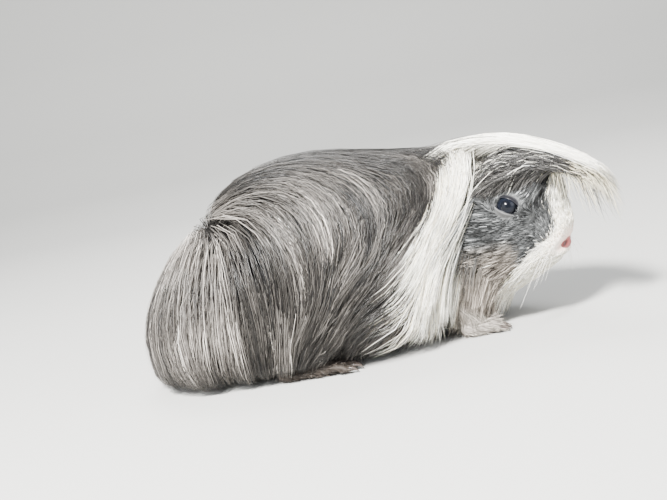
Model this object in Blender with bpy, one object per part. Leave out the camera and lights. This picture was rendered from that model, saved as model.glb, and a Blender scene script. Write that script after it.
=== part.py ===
"""A life-size, long-haired guinea pig that stands on four feet, as one still model.

The animal faces +X and stands on z = 0. The origin is the centre of its box, on the
floor. Each solid has the outline of the coat, out to the tips of the hair.
"""

import math

import bmesh
import bpy
import numpy as np
from mathutils import Matrix, Vector

MM = 0.001

# Driving dimensions, in millimetres
HEM = 1.0               # underside of the coat, above the floor
GAP = 0.3               # between two neighbouring solids
RUMP_CUT = -72.0        # the trunk is parted into rump, flank and shoulder
SHOULDER_CUT = 0.0
NECK_CUT = 34.0
HEAD_CUT = 58.0
MIDDLE_X = -5.35        # of the coat's box, where the origin goes
COAT_RING = 28          # points round a section of the coat, and of the head
HEAD_RING = 24

# The coat from rump to neck: x, top, height of the widest part, half width, fullness of the dome
COAT = [
    (-145.5, 27, 25, 0.0, 2.0),
    (-143.5, 38, 26, 17.0, 2.0),
    (-138, 50, 28, 33.0, 2.0),
    (-130, 63, 30, 46.0, 2.05),
    (-119, 76, 31, 56.0, 2.1),
    (-105, 89, 32, 62.5, 2.15),
    (-90, 100, 33, 66.0, 2.2),
    (-74, 110.5, 34, 68.0, 2.2),
    (-54, 116.5, 34, 69.0, 2.2),
    (-30, 118.5, 34, 69.0, 2.2),
    (-5, 115, 34, 67.0, 2.15),
    (20, 109.3, 35, 62.5, 2.1),
    (40, 106.5, 37, 56.0, 2.1),
    (50, 107.4, 40, 51.0, 2.1),
    (58, 108.3, 42, 46.0, 2.1),
]

# The head with its short fur, and the throat hair under it, before the head is turned:
# x, top, height of the widest part, bottom, half width, fullness above, fullness below
HEAD = [
    (52, 95, 48, -6, 38.5, 2.0, 2.2),
    (58, 94.5, 48, -4, 37.0, 2.0, 2.1),
    (66, 93.5, 49, 3, 34.5, 2.0, 2.0),
    (74, 92.5, 50, 9.5, 32.5, 1.95, 2.0),
    (82, 91, 51, 15, 30.0, 1.95, 2.0),
    (90, 89.5, 51.5, 21, 27.0, 1.95, 2.0),
    (96, 88, 51.5, 26, 24.0, 2.0, 2.1),
    (101, 86, 51, 29, 21.0, 2.05, 2.3),
    (105.5, 84, 50, 31.5, 17.8, 2.15, 2.5),
    (109, 80.5, 49, 34, 14.8, 2.3, 2.7),
    (111.4, 74, 48, 36, 12.0, 2.4, 2.8),
    (113.2, 64, 47.5, 38.5, 8.8, 2.4, 2.6),
    (114.2, 56, 48, 42, 0.0, 2.0, 2.0),
]

# The hair that reaches forward over the face: x, top, bottom, half width
FORELOCK = [
    (58.3, 108.3, 84, 35.0),
    (72, 108.6, 85, 32.0),
    (90, 105.8, 85.5, 28.0),
    (106, 99.9, 83.5, 23.0),
    (114, 96.4, 82.5, 20.5),
    (121.5, 92.6, 80.5, 18.0),
    (130, 87.5, 76.5, 14.8),
    (136.5, 83.0, 72.0, 11.5),
    (141.5, 77.6, 67.0, 8.0),
    (144.6, 72.2, 64.5, 4.2),
    (145.8, 68.0, 66.0, 0.0),
]

# The head is turned to the animal's right: the angle, and the x over which the neck bends
TURN = {"degrees": 30.0, "from_x": 8.0, "to_x": 84.0}

ROSETTE = (-97.0, 10.0, 7.5)     # x, radius and depth of the dimple where the rump hair parts

EYE = {"centre": (88.6, 20.8, 69.0), "radius": 6.0, "socket": 6.3}
EAR = {"root": (60.0, 18.0, 83.0), "out": (-0.24, 0.86, -0.45), "across": (0.86, 0.12, -0.35),
       "length": 29.0, "width": 20.0, "thick": 2.2}
NOSE = {"centre": (110.6, 0.0, 43.0), "size": (4.2, 6.0, 4.4)}
MOUTH = {"corner": 96.0, "height": 34.6, "tilt": 3.0}
THROAT_LINE = ((58.0, 34.0), (92.0, 24.5))

HIND_FOOT = {"ankle": (-60.0, 49.0), "length": 39.0, "width": 14.5, "toes": 3, "toe_out": 9.0,
             "leg_top": (-60.0, 40.0, 46.0), "leg_radius": 11.0}
FORE_FOOT = {"ankle": (44.0, 31.0), "length": 20.0, "width": 14.0, "toes": 4, "toe_out": 6.0,
             "leg_top": (40.0, 28.0, 42.0), "leg_radius": 8.0}
SOLE = 0.0
TOE_RADIUS = 2.9
TOE_SIDES = 9
TOE_HEIGHT = 4.4        # of a toe's middle line where it leaves the foot
CLAW_LENGTH = 5.0
CLAW_TIP = {"height": 0.9, "radius": 0.35}
CLAW_ROOT = 1.2         # radius where the claw leaves the toe


def clear_scene():
    for thing in list(bpy.data.objects):
        bpy.data.objects.remove(thing)


def new_collection(name):
    made = bpy.data.collections.new(name)
    bpy.context.scene.collection.children.link(made)
    return made


def material(name, colour, roughness):
    made = bpy.data.materials.new(name)
    made.use_nodes = True
    shader = made.node_tree.nodes["Principled BSDF"]
    shader.inputs["Base Color"].default_value = (*colour, 1.0)
    shader.inputs["Roughness"].default_value = roughness
    shader.inputs["Metallic"].default_value = 0.0
    made.diffuse_color = (*colour, 1.0)
    return made


def smooth_columns(table, xs):
    """Each column of the table as a smooth curve through its stations, read at xs."""
    table = np.array(table, float)
    knots = table[:, 0]
    columns = []
    for values in table[:, 1:].T:
        slopes = np.gradient(values, knots)
        index = np.clip(np.searchsorted(knots, xs) - 1, 0, len(knots) - 2)
        width = knots[index + 1] - knots[index]
        t = (xs - knots[index]) / width
        low, high = values[index], values[index + 1]
        columns.append(
            low * (1 + 2 * t) * (1 - t) ** 2
            + high * t * t * (3 - 2 * t)
            + slopes[index] * width * t * (1 - t) ** 2
            - slopes[index + 1] * width * t * t * (1 - t)
        )
    return columns


def ring_places(table, per_station):
    """The x of each ring, with the same number of rings between any two stations."""
    knots = [row[0] for row in table]
    places = []
    for low, high in zip(knots[:-1], knots[1:]):
        places += list(np.linspace(low, high, per_station, endpoint=False))
    return np.array(places + [knots[-1]])


def oval(half_width, middle, top, bottom, above, below, count):
    """A ring of points (y, z): an oval whose upper and lower halves have their own fullness."""
    ring = []
    for step in range(count):
        angle = 2 * math.pi * step / count
        side, rise = math.cos(angle), math.sin(angle)
        fullness = above if rise >= 0 else below
        y = half_width * math.copysign(abs(side) ** (2 / fullness), side)
        reach = top - middle if rise >= 0 else middle - bottom
        ring.append((y, middle + reach * math.copysign(abs(rise) ** (2 / fullness), rise)))
    return ring


def loft(name, sections):
    """A closed mesh through sections [(x, ring)]. A ring with no width becomes one point."""
    work = bmesh.new()
    rings = []
    for x, ring in sections:
        wide = max(abs(y) for y, _ in ring) > 0.01
        if wide:
            rings.append([work.verts.new((x * MM, y * MM, z * MM)) for y, z in ring])
        else:
            height = sum(z for _, z in ring) / len(ring)
            rings.append([work.verts.new((x * MM, 0.0, height * MM))])
    for low, high in zip(rings[:-1], rings[1:]):
        count = max(len(low), len(high))
        for i in range(count):
            j = (i + 1) % count
            corners = [low[i % len(low)], low[j % len(low)], high[j % len(high)], high[i % len(high)]]
            work.faces.new(list(dict.fromkeys(corners)))
    for ring in (rings[0], rings[-1]):
        if len(ring) > 1:
            work.faces.new(ring)
    bmesh.ops.recalc_face_normals(work, faces=work.faces)
    mesh = bpy.data.meshes.new(name)
    work.to_mesh(mesh)
    work.free()
    return bpy.data.objects.new(name, mesh)


def cut_by_plane(thing, point, normal):
    """Keeps what lies behind the plane, and closes the cut with a flat face."""
    work = bmesh.new()
    work.from_mesh(thing.data)
    everything = work.verts[:] + work.edges[:] + work.faces[:]
    place = Vector(point) * MM
    cut = bmesh.ops.bisect_plane(
        work, geom=everything, plane_co=place, plane_no=Vector(normal), clear_outer=True, dist=1e-7
    )
    rim = [part for part in cut["geom_cut"] if isinstance(part, bmesh.types.BMEdge)]
    bmesh.ops.holes_fill(work, edges=rim, sides=0)
    bmesh.ops.recalc_face_normals(work, faces=work.faces)
    work.to_mesh(thing.data)
    work.free()


def turned_station(x):
    """Where the middle line of the straight model at x lies once the neck is bent, and its angle."""
    full, start, end = math.radians(TURN["degrees"]), TURN["from_x"], TURN["to_x"]

    def angle_at(place):
        t = min(max((place - start) / (end - start), 0.0), 1.0)
        return full * t * t * (3 - 2 * t)

    steps = 40
    length = max(x - start, 0.0) / steps
    angles = [angle_at(start + (k + 0.5) * length) for k in range(steps)]
    ahead = min(x, start) + sum(math.cos(angle) for angle in angles) * length
    aside = -sum(math.sin(angle) for angle in angles) * length
    return ahead, aside, angle_at(x)


def turn_head(thing):
    """Bends the neck sideways, so that all in front of it swings to the animal's right."""
    for vertex in thing.data.vertices:
        ahead, aside, angle = turned_station(vertex.co.x / MM)
        y = vertex.co.y
        vertex.co.x = ahead * MM + y * math.sin(angle)
        vertex.co.y = aside * MM + y * math.cos(angle)
    return thing


def across_plane(x):
    """The point and the forward normal of the cut across the bent model at x."""
    ahead, aside, angle = turned_station(x)
    return (ahead, aside, 0), (math.cos(angle), -math.sin(angle), 0)


def copy_of(thing, name):
    made = thing.copy()
    made.data = thing.data.copy()
    made.name = name
    made.data.name = name
    return made


def slice_of(thing, name, low, high):
    """The stretch of a solid between two planes across its length."""
    made = copy_of(thing, name)
    if low is not None:
        place, ahead = across_plane(low + GAP / 2)
        cut_by_plane(made, place, [-part for part in ahead])
    if high is not None:
        cut_by_plane(made, *across_plane(high - GAP / 2))
    return made


def combine(thing, other, operation):
    """Applies one exact Boolean and leaves the result in thing's mesh."""
    for part in (thing, other):
        if not part.users_collection:
            cutters.objects.link(part)
    change = thing.modifiers.new("join", "BOOLEAN")
    change.operation = operation
    change.object = other
    bpy.context.view_layer.update()
    graph = bpy.context.evaluated_depsgraph_get()
    result = bpy.data.meshes.new_from_object(thing.evaluated_get(graph))
    thing.modifiers.remove(change)
    thing.data = result


def grown(thing, name, distance):
    """A copy pushed out along its normals, to cut a pocket that leaves a gap."""
    made = copy_of(thing, name)
    work = bmesh.new()
    work.from_mesh(made.data)
    work.normal_update()
    moves = {v: v.normal * v.calc_shell_factor() * distance * MM for v in work.verts}
    for vertex, move in moves.items():
        vertex.co += move
    work.to_mesh(made.data)
    work.free()
    return made


def mirrored(thing, name):
    """The same piece on the animal's other side."""
    made = copy_of(thing, name)
    made.data.transform(Matrix.Scale(-1, 4, (0, 1, 0)))
    made.data.flip_normals()
    return made


def ball(name, centre, radii, segments=16, rings=10):
    work = bmesh.new()
    bmesh.ops.create_uvsphere(work, u_segments=segments, v_segments=rings, radius=1.0)
    bmesh.ops.scale(work, vec=Vector(radii) * MM, verts=work.verts)
    bmesh.ops.translate(work, vec=Vector(centre) * MM, verts=work.verts)
    mesh = bpy.data.meshes.new(name)
    work.to_mesh(mesh)
    work.free()
    return bpy.data.objects.new(name, mesh)


def taper(name, start, end, low_radius, high_radius, segments=12):
    """A round bar from start to end, which may narrow."""
    start, end = Vector(start), Vector(end)
    along = end - start
    work = bmesh.new()
    bmesh.ops.create_cone(
        work, cap_ends=True, segments=segments,
        radius1=low_radius * MM, radius2=high_radius * MM, depth=along.length * MM,
    )
    turn = along.to_track_quat("Z", "Y").to_matrix().to_4x4()
    place = Matrix.Translation((start + end) / 2 * MM)
    bmesh.ops.transform(work, matrix=place @ turn, verts=work.verts)
    mesh = bpy.data.meshes.new(name)
    work.to_mesh(mesh)
    work.free()
    return bpy.data.objects.new(name, mesh)


def coat_body():
    """The long coat as one dome from the rump hair to the neck, with a flat hem."""
    xs = ring_places(COAT, 2)
    tops, middles, widths, domes = smooth_columns(COAT, xs)
    sections = []
    for x, top, middle, width, dome in zip(xs, tops, middles, widths, domes):
        below = HEM - 8 if width > 20 else middle - 18 * width / 20
        sections.append((x, oval(width, middle, top, below, dome, 3.0, COAT_RING)))
    body = loft("coat", sections)
    centre, radius, depth = ROSETTE
    for vertex in body.data.vertices:
        x, y, z = (c / MM for c in vertex.co)
        if z > 50:
            away = ((x - centre) ** 2 + y * y) / radius ** 2
            vertex.co.z -= depth * math.exp(-away) * MM
        elif abs(y) > 20:   # the hem falls in broad locks
            around = math.atan2(abs(y), x)
            wave = 0.016 * math.sin(26 * around) * (1 - z / 50)
            vertex.co.x *= 1 + 0.3 * wave if abs(x) > 100 else 1
            vertex.co.y *= 1 + wave
    cut_by_plane(turn_head(body), (0, 0, HEM), (0, 0, -1))
    return body


def head_whole():
    """The head with the throat hair below it, down to the hem."""
    xs = ring_places(HEAD, 2)
    sections = [
        (x, oval(width, middle, top, bottom, above, below, HEAD_RING))
        for x, top, middle, bottom, width, above, below in zip(xs, *smooth_columns(HEAD, xs))
    ]
    head = loft("head", sections)
    for vertex in head.data.vertices:
        x, y, z = (c / MM for c in vertex.co)
        side = math.copysign(1, y)
        # the cheek's jaw muscle stands out and the face is hollow in front of the eye
        cheek = 2.6 * math.exp(-((x - 86) / 12) ** 2 - ((z - 43) / 12) ** 2)
        hollow = 1.6 * math.exp(-((x - 101) / 6) ** 2 - ((z - 62) / 8) ** 2)
        pad = 1.5 * math.exp(-((x - 108) / 5) ** 2 - ((z - 36) / 5) ** 2)
        if abs(y) > 3:
            vertex.co.y += side * (cheek - hollow + pad) * MM
    cut_by_plane(turn_head(head), (0, 0, HEM), (0, 0, -1))
    place, ahead = across_plane(HEAD_CUT + GAP / 2)
    cut_by_plane(head, place, [-part for part in ahead])
    return head


def forelock(head):
    """The hair that falls forward over the face like a visor, resting on the head."""
    xs = ring_places(FORELOCK, 1)
    sections = []
    for x, top, bottom, width in zip(xs, *smooth_columns(FORELOCK, xs)):
        middle = bottom + 0.28 * (top - bottom)
        sections.append((x, oval(width, middle, top, bottom, 2.0, 2.4, HEAD_RING)))
    made = turn_head(loft("forelock", sections))
    combine(made, grown(head, "head_pocket", GAP), "DIFFERENCE")
    keep_largest(made)
    return made


def keep_largest(thing):
    """Drops loose slivers that a Boolean may leave beside the main body."""
    work = bmesh.new()
    work.from_mesh(thing.data)
    left, islands = set(work.verts), []
    while left:
        island, front = set(), [left.pop()]
        while front:
            vertex = front.pop()
            island.add(vertex)
            for edge in vertex.link_edges:
                other = edge.other_vert(vertex)
                if other in left:
                    left.remove(other)
                    front.append(other)
        islands.append(island)
    islands.sort(key=len)
    loose = [vertex for island in islands[:-1] for vertex in island]
    bmesh.ops.delete(work, geom=loose, context="VERTS")
    work.to_mesh(thing.data)
    work.free()


def ear(name, extra=0.0):
    """The left ear, or its pocket: a drooping petal with a rolled, hollow front."""
    root, length = Vector(EAR["root"]), EAR["length"]
    out = Vector(EAR["out"]).normalized()
    across = Vector(EAR["across"])
    across = (across - across.dot(out) * out).normalized()
    face = out.cross(across).normalized()
    rows, columns = 7, 5
    work = bmesh.new()
    layers = []
    for side in (1, -1):
        grid = []
        for i in range(rows):
            t = i / (rows - 1)
            half = EAR["width"] / 2 * (math.sin(math.pi * (0.2 + 0.76 * t) ** 0.8) ** 0.7) + extra
            along = length * t + extra * (2 * t - 1)
            row = []
            for k in range(columns):
                s = 2 * k / (columns - 1) - 1
                cup = 2.6 * (s * s) * (1 - 0.4 * t) - 1.5 * t * t
                rim = EAR["thick"] / 2 * (1 - 0.45 * s * s) * (1 - 0.4 * t ** 3) + extra
                point = root + out * along + across * (half * s) + face * (cup + side * rim)
                row.append(work.verts.new(point * MM))
            grid.append(row)
        layers.append(grid)
    front, back = layers
    for i in range(rows - 1):
        for k in range(columns - 1):
            work.faces.new((front[i][k], front[i][k + 1], front[i + 1][k + 1], front[i + 1][k]))
            work.faces.new((back[i][k], back[i + 1][k], back[i + 1][k + 1], back[i][k + 1]))
    rims = []
    for grid in layers:
        left = [row[0] for row in grid]
        right = [row[-1] for row in grid]
        rims.append(left + grid[-1][1:-1] + right[::-1] + grid[0][-2:0:-1])
    for i in range(len(rims[0])):
        j = (i + 1) % len(rims[0])
        work.faces.new((rims[0][i], rims[0][j], rims[1][j], rims[1][i]))
    bmesh.ops.recalc_face_normals(work, faces=work.faces)
    mesh = bpy.data.meshes.new(name)
    work.to_mesh(mesh)
    work.free()
    return bpy.data.objects.new(name, mesh)


def leg_lines(shape):
    """The middle of the ankle, the way ahead, and the way across of a left foot."""
    turn = math.radians(shape["toe_out"])
    ahead = Vector((math.cos(turn), math.sin(turn), 0))
    return Vector((*shape["ankle"], 6.5)), ahead, Vector((-ahead.y, ahead.x, 0))


def shank_and_pad(name, shape, extra=0.0):
    """The part of a leg that it shares with its pocket in the coat."""
    ankle, ahead, _ = leg_lines(shape)
    top = Vector(shape["leg_top"])
    along = (top - ankle).normalized() * extra * 1.5
    low, high = shape["width"] * 0.46 + extra * 1.2, shape["leg_radius"] + extra * 1.2
    body = taper(name, ankle - along, top + along, low, high, 12)
    half = shape["length"] * 0.31 + 5
    pad = ball(name + "_pad", (0, 0, 0), (half + extra, shape["width"] / 2 + extra, 6.2 + extra), 12, 8)
    middle = ankle + ahead * (half - 8)
    place = Matrix.Translation(Vector((middle.x, middle.y, 4.6)) * MM)
    pad.data.transform(place @ Matrix.Rotation(math.radians(shape["toe_out"]), 4, "Z"))
    combine(body, pad, "UNION")
    return body


def toe(name, base, tip, ahead, twist):
    """One closed tube: the toe, its round end and the claw that curves down from it."""
    end = tip + ahead * (TOE_RADIUS + CLAW_LENGTH)
    end.z = CLAW_TIP["height"]
    middle = base.lerp(tip, 0.55)
    middle.z += 0.5
    stations = [
        (base, TOE_RADIUS * 1.03), (middle, TOE_RADIUS * 0.9), (tip, TOE_RADIUS),
        (tip + ahead * TOE_RADIUS * 0.75, TOE_RADIUS * 0.72), (tip + ahead * (TOE_RADIUS + 0.5), CLAW_ROOT),
        (end.lerp(tip + ahead * TOE_RADIUS, 0.5), CLAW_ROOT * 0.75), (end, CLAW_TIP["radius"]),
    ]
    across = ahead.cross(Vector((0, 0, 1))).normalized()
    upright = across.cross(ahead).normalized()
    work = bmesh.new()
    rings = []
    for centre, radius in stations:
        ring = []
        for step in range(TOE_SIDES):
            angle = 2 * math.pi * step / TOE_SIDES + twist
            spot = centre + radius * (across * math.cos(angle) + upright * math.sin(angle))
            ring.append(work.verts.new(spot * MM))
        rings.append(ring)
    for low, high in zip(rings[:-1], rings[1:]):
        for i in range(TOE_SIDES):
            j = (i + 1) % TOE_SIDES
            work.faces.new((low[i], low[j], high[j], high[i]))
    work.faces.new(rings[0])
    work.faces.new(rings[-1])
    bmesh.ops.recalc_face_normals(work, faces=work.faces)
    mesh = bpy.data.meshes.new(name)
    work.to_mesh(mesh)
    work.free()
    return bpy.data.objects.new(name, mesh)


def leg(name, shape):
    """A left leg: a shank in the coat, a flat-soled foot, round toes and claws."""
    ankle, ahead, across = leg_lines(shape)
    body = shank_and_pad(name, shape)
    toes = shape["toes"]
    for k in range(toes):
        spread = (k - (toes - 1) / 2) / (toes - 1) * 2
        base = ankle + ahead * shape["length"] * 0.5 + across * spread * shape["width"] * 0.30
        reach = shape["length"] * 0.5 - CLAW_LENGTH * 0.6 - abs(spread) * 1.8
        tip = base + ahead * reach + across * spread * 1.3
        base.z, tip.z = TOE_HEIGHT, TOE_RADIUS - 0.2
        made = toe(name + "_toe", base, tip, (tip - base).normalized(), 0.2 + 0.13 * k)
        combine(body, made, "UNION")
    cut_by_plane(body, (0, 0, SOLE), (0, 0, -1))
    return body


def leg_pocket(name, shape):
    """The room a left leg takes in the coat, a gap larger than the leg all round."""
    ankle, ahead, _ = leg_lines(shape)
    pocket = shank_and_pad(name, shape, GAP)
    front = ankle + ahead * (shape["length"] + 6)
    back = ankle + ahead * shape["length"] * 0.3
    middle = (front + back) / 2
    size = ((front - back).length, shape["width"] + 8, 2 * (TOE_RADIUS * 2 + 2.0))
    toes = box(name + "_toes", (middle.x, middle.y, 0), size, math.radians(shape["toe_out"]))
    combine(pocket, toes, "UNION")
    return pocket


def box(name, centre, size, turn=0.0, tilt=0.0):
    work = bmesh.new()
    bmesh.ops.create_cube(work, size=1.0)
    bmesh.ops.scale(work, vec=Vector(size) * MM, verts=work.verts)
    place = Matrix.Translation(Vector(centre) * MM)
    turned = Matrix.Rotation(turn, 4, "Z") @ Matrix.Rotation(tilt, 4, "Y")
    bmesh.ops.transform(work, matrix=place @ turned, verts=work.verts)
    mesh = bpy.data.meshes.new(name)
    work.to_mesh(mesh)
    work.free()
    return bpy.data.objects.new(name, mesh)


def show(thing, finish):
    """Adds a finished node to the model, in its place round the origin, with its finish."""
    for old in list(thing.users_collection):
        old.objects.unlink(thing)
    guinea_pig.objects.link(thing)
    thing.hide_render = False
    thing.display_type = "TEXTURED"
    thing.location.x = -MIDDLE_X * MM
    thing.data.materials.clear()
    thing.data.materials.append(finish)
    thing.data.polygons.foreach_set("material_index", [0] * len(thing.data.polygons))
    thing.data.shade_smooth()
    thing.data.set_sharp_from_angle(angle=math.radians(50))


def build():
    fur_grey = material("grey_coat", (0.33, 0.31, 0.29), 0.6)
    fur_white = material("white_coat", (0.82, 0.80, 0.75), 0.6)
    fur_face = material("face_fur", (0.42, 0.42, 0.41), 0.65)
    skin_pink = material("pink_skin", (0.72, 0.42, 0.38), 0.5)
    foot_skin = material("foot_skin", (0.16, 0.12, 0.10), 0.6)
    eye_dark = material("eye", (0.012, 0.014, 0.02), 0.08)

    body = coat_body()
    head = head_whole()
    fringe = forelock(head)
    nose = turn_head(ball("nose", NOSE["centre"], NOSE["size"], 12, 8))
    room = [radius + GAP * 1.2 for radius in NOSE["size"]]
    combine(head, turn_head(ball("nose_pocket", NOSE["centre"], room, 12, 8)), "DIFFERENCE")

    # the throat hair hangs under a sloping plane, from the jaw's angle to the floor
    back, front = THROAT_LINE
    slope = Vector((back[1] - front[1], 0, front[0] - back[0])).normalized()
    slope.rotate(Matrix.Rotation(-math.radians(TURN["degrees"]), 3, "Z"))
    ahead, aside, _ = turned_station(front[0])
    start = Vector((ahead, aside, front[1]))
    throat = copy_of(head, "throat")
    cut_by_plane(throat, start - slope * GAP / 2, slope)
    cut_by_plane(head, start + slope * GAP / 2, -slope)

    # the lower jaw is the part of the head under the mouth, in front of its corner
    tilt = math.radians(MOUTH["tilt"])
    corner = Vector((MOUTH["corner"], 0, MOUTH["height"]))
    level = Vector((math.cos(tilt), 0, -math.sin(tilt)))
    upright = Vector((math.sin(tilt), 0, math.cos(tilt)))
    middle = corner + level * 25 - upright * 25
    room = turn_head(box("jaw_room", middle, (50 + GAP, 60, 50 + GAP), 0, tilt))
    block = turn_head(box("jaw_block", middle, (50 - GAP, 60, 50 - GAP), 0, tilt))
    jaw = copy_of(head, "jaw")
    combine(jaw, block, "INTERSECT")
    combine(head, room, "DIFFERENCE")

    pieces = {
        "rump": slice_of(body, "rump", None, RUMP_CUT),
        "flank": slice_of(body, "flank", RUMP_CUT, SHOULDER_CUT),
        "shoulder": slice_of(body, "shoulder", SHOULDER_CUT, NECK_CUT),
        "neck": slice_of(body, "neck", NECK_CUT, HEAD_CUT),
        "throat": throat,
    }
    solids = {
        "ear_left": (ear("ear_left"), skin_pink),
        "eye_left": (ball("eye_left", EYE["centre"], (EYE["radius"],) * 3, 16, 10), eye_dark),
        "foreleg_left": (leg("foreleg_left", FORE_FOOT), foot_skin),
        "hindleg_left": (leg("hindleg_left", HIND_FOOT), foot_skin),
    }
    pieces.update({"head": head, "jaw": jaw, "forelock": fringe, "nose": nose})
    turning = {"ear_left", "eye_left"}
    for own, cutter, around in (
        ("ear_left", ear("ear_pocket", 2 * GAP), ("neck", "head", "forelock")),
        ("eye_left", ball("socket", EYE["centre"], (EYE["socket"],) * 3, 14, 10), ("head",)),
        ("foreleg_left", leg_pocket("foreleg_pocket", FORE_FOOT), ("shoulder", "neck", "throat", "head")),
        ("hindleg_left", leg_pocket("hindleg_pocket", HIND_FOOT), ("rump", "flank", "shoulder")),
    ):
        for side in (cutter, mirrored(cutter, cutter.name + "_right")):
            if own in turning:
                turn_head(side)
            for piece in around:
                combine(pieces[piece], side, "DIFFERENCE")

    finishes = {"nose": skin_pink, "head": fur_face, "neck": fur_white, "forelock": fur_white,
                "jaw": fur_white}
    for name, piece in pieces.items():
        keep_largest(piece)
        piece.name = name
        show(piece, finishes.get(name, fur_grey))
    for name, (piece, finish) in solids.items():
        other = mirrored(piece, name.replace("left", "right"))
        for side in (piece, other):
            show(turn_head(side) if name in turning else side, finish)


clear_scene()
guinea_pig = new_collection("guinea_pig")
cutters = new_collection("cutters")
build()
for thing in list(bpy.data.objects):
    if thing.name not in guinea_pig.objects:
        bpy.data.objects.remove(thing)
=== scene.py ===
import math

import bmesh
import bpy
import numpy as np
from mathutils import Matrix, Vector, kdtree
from mathutils.bvhtree import BVHTree


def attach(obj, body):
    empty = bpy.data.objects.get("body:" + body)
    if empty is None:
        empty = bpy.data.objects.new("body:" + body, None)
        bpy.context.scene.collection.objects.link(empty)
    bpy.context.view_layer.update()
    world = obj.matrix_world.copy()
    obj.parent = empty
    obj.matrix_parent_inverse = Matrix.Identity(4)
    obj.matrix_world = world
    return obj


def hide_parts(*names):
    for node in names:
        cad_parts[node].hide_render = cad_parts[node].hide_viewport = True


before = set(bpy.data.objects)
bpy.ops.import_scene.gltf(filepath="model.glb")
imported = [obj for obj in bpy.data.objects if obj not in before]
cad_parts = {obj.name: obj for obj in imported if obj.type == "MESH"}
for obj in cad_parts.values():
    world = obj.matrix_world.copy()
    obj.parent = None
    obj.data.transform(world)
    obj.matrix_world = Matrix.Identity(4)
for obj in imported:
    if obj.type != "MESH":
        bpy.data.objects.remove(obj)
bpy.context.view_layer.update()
mm = 0.001
middleX = -5.35  # of the coat's box, where the origin is
rng = np.random.default_rng(20)


def smoothCurve(table, xs):  # each column of the table as a smooth curve, read at xs
    table = np.array(table, float)
    knots = table[:, 0]
    index = np.clip(np.searchsorted(knots, xs) - 1, 0, len(knots) - 2)
    width = knots[index + 1] - knots[index]
    t = np.clip((xs - knots[index]) / width, 0, 1)
    columns = []
    for values in table[:, 1:].T:
        slope = np.gradient(values, knots)
        low, high = values[index], values[index + 1]
        columns.append(
            low * (1 + 2 * t) * (1 - t) ** 2 + high * t * t * (3 - 2 * t)
            + width * t * (1 - t) * (slope[index] * (1 - t) - slope[index + 1] * t)
        )
    return columns


def fade(values, low, high):  # 0 below low, 1 above high, smooth between
    t = np.clip((np.asarray(values, float) - low) / (high - low), 0, 1)
    return t * t * (3 - 2 * t)


def unit(vectors):
    return vectors / np.maximum(np.linalg.norm(vectors, axis=-1, keepdims=True), 1e-9)


# Every piece is made on a straight animal, in millimetres, and turned with the head at the end.
headTurn = {"degrees": 30.0, "fromX": 8.0, "toX": 84.0}


def bendOf(spec):  # where the straight middle line goes, and its angle, at every half millimetre
    xs = np.arange(-170.0, 180.0, 0.5)
    angle = math.radians(spec["degrees"]) * fade(xs, spec["fromX"], spec["toX"])
    between = (angle[1:] + angle[:-1]) / 2
    ahead = xs[0] + np.concatenate([[0], np.cumsum(np.cos(between)) * 0.5])
    aside = -np.concatenate([[0], np.cumsum(np.sin(between)) * 0.5])
    return xs, ahead, aside, angle


bend = bendOf(headTurn)


def turned(points, share=1.0):  # share 0 leaves a point where it is
    xs, ahead, aside, angle = bend
    x, y = points[..., 0], points[..., 1]
    a = np.interp(x, xs, angle)
    moved = points.copy()
    moved[..., 0] = np.interp(x, xs, ahead) + y * np.sin(a)
    moved[..., 1] = np.interp(x, xs, aside) + y * np.cos(a)
    return points + (moved - points) * share


# The lie of the hair and the markings are read on the animal seen from its right, a little from above.
sideLook = {"distance": 620.0, "forward": -25.7, "height": 58.5, "fall": 0.172}


def sideView(points):  # forward and height of each place in that view, and how much its length shrinks
    xs, ahead, aside, angle = bend
    x, out = points[:, 0], np.abs(points[:, 1])
    a = np.interp(x, xs, angle)
    bending = np.interp(x, xs, np.gradient(angle, xs))
    nearer = out * np.cos(a) - np.interp(x, xs, aside)
    grow = sideLook["distance"] / (sideLook["distance"] - nearer)
    forward = np.interp(x, xs, ahead) - out * np.sin(a)
    forward = sideLook["forward"] + (forward - sideLook["forward"]) * grow
    height = sideLook["height"] + (points[:, 2] - sideLook["height"]) * grow - sideLook["fall"] * nearer
    return forward, height, np.maximum(np.cos(a) * (1 - out * bending), 0.35)


def footShare(points):  # the forefeet stay on the floor while the neck above them turns
    x, z = points[..., 0], points[..., 2]
    return np.maximum(fade(z, 9, 26), fade(x, 70, 80))[..., None]


def placed(points):  # from the animal's own millimetres to the shared frame
    return (np.asarray(points, float) - (middleX, 0, 0)) * mm


def makeObject(name, points, faces):
    mesh = bpy.data.meshes.new(name)
    mesh.from_pydata(placed(points).tolist(), [], faces)
    mesh.update()
    mesh.shade_smooth()
    made = bpy.data.objects.new(name, mesh)
    bpy.context.scene.collection.objects.link(made)
    return made


def faceOutward(thing, weld=False):
    work = bmesh.new()
    work.from_mesh(thing.data)
    if weld:
        bmesh.ops.remove_doubles(work, verts=work.verts, dist=1e-6)
    bmesh.ops.recalc_face_normals(work, faces=work.faces)
    work.to_mesh(thing.data)
    work.free()


def applied(thing):  # the object's mesh with its modifiers applied
    graph = bpy.context.evaluated_depsgraph_get()
    mesh = bpy.data.meshes.new_from_object(thing.evaluated_get(graph))
    thing.modifiers.clear()
    thing.data = mesh
    return thing


def pointsOf(thing):
    flat = np.empty(len(thing.data.vertices) * 3, np.float32)
    thing.data.vertices.foreach_get("co", flat)
    return flat.reshape(-1, 3).astype(float) / mm + (middleX, 0, 0)


def setPoints(thing, points):
    thing.data.vertices.foreach_set("co", placed(points).astype(np.float32).ravel())
    thing.data.update()


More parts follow.
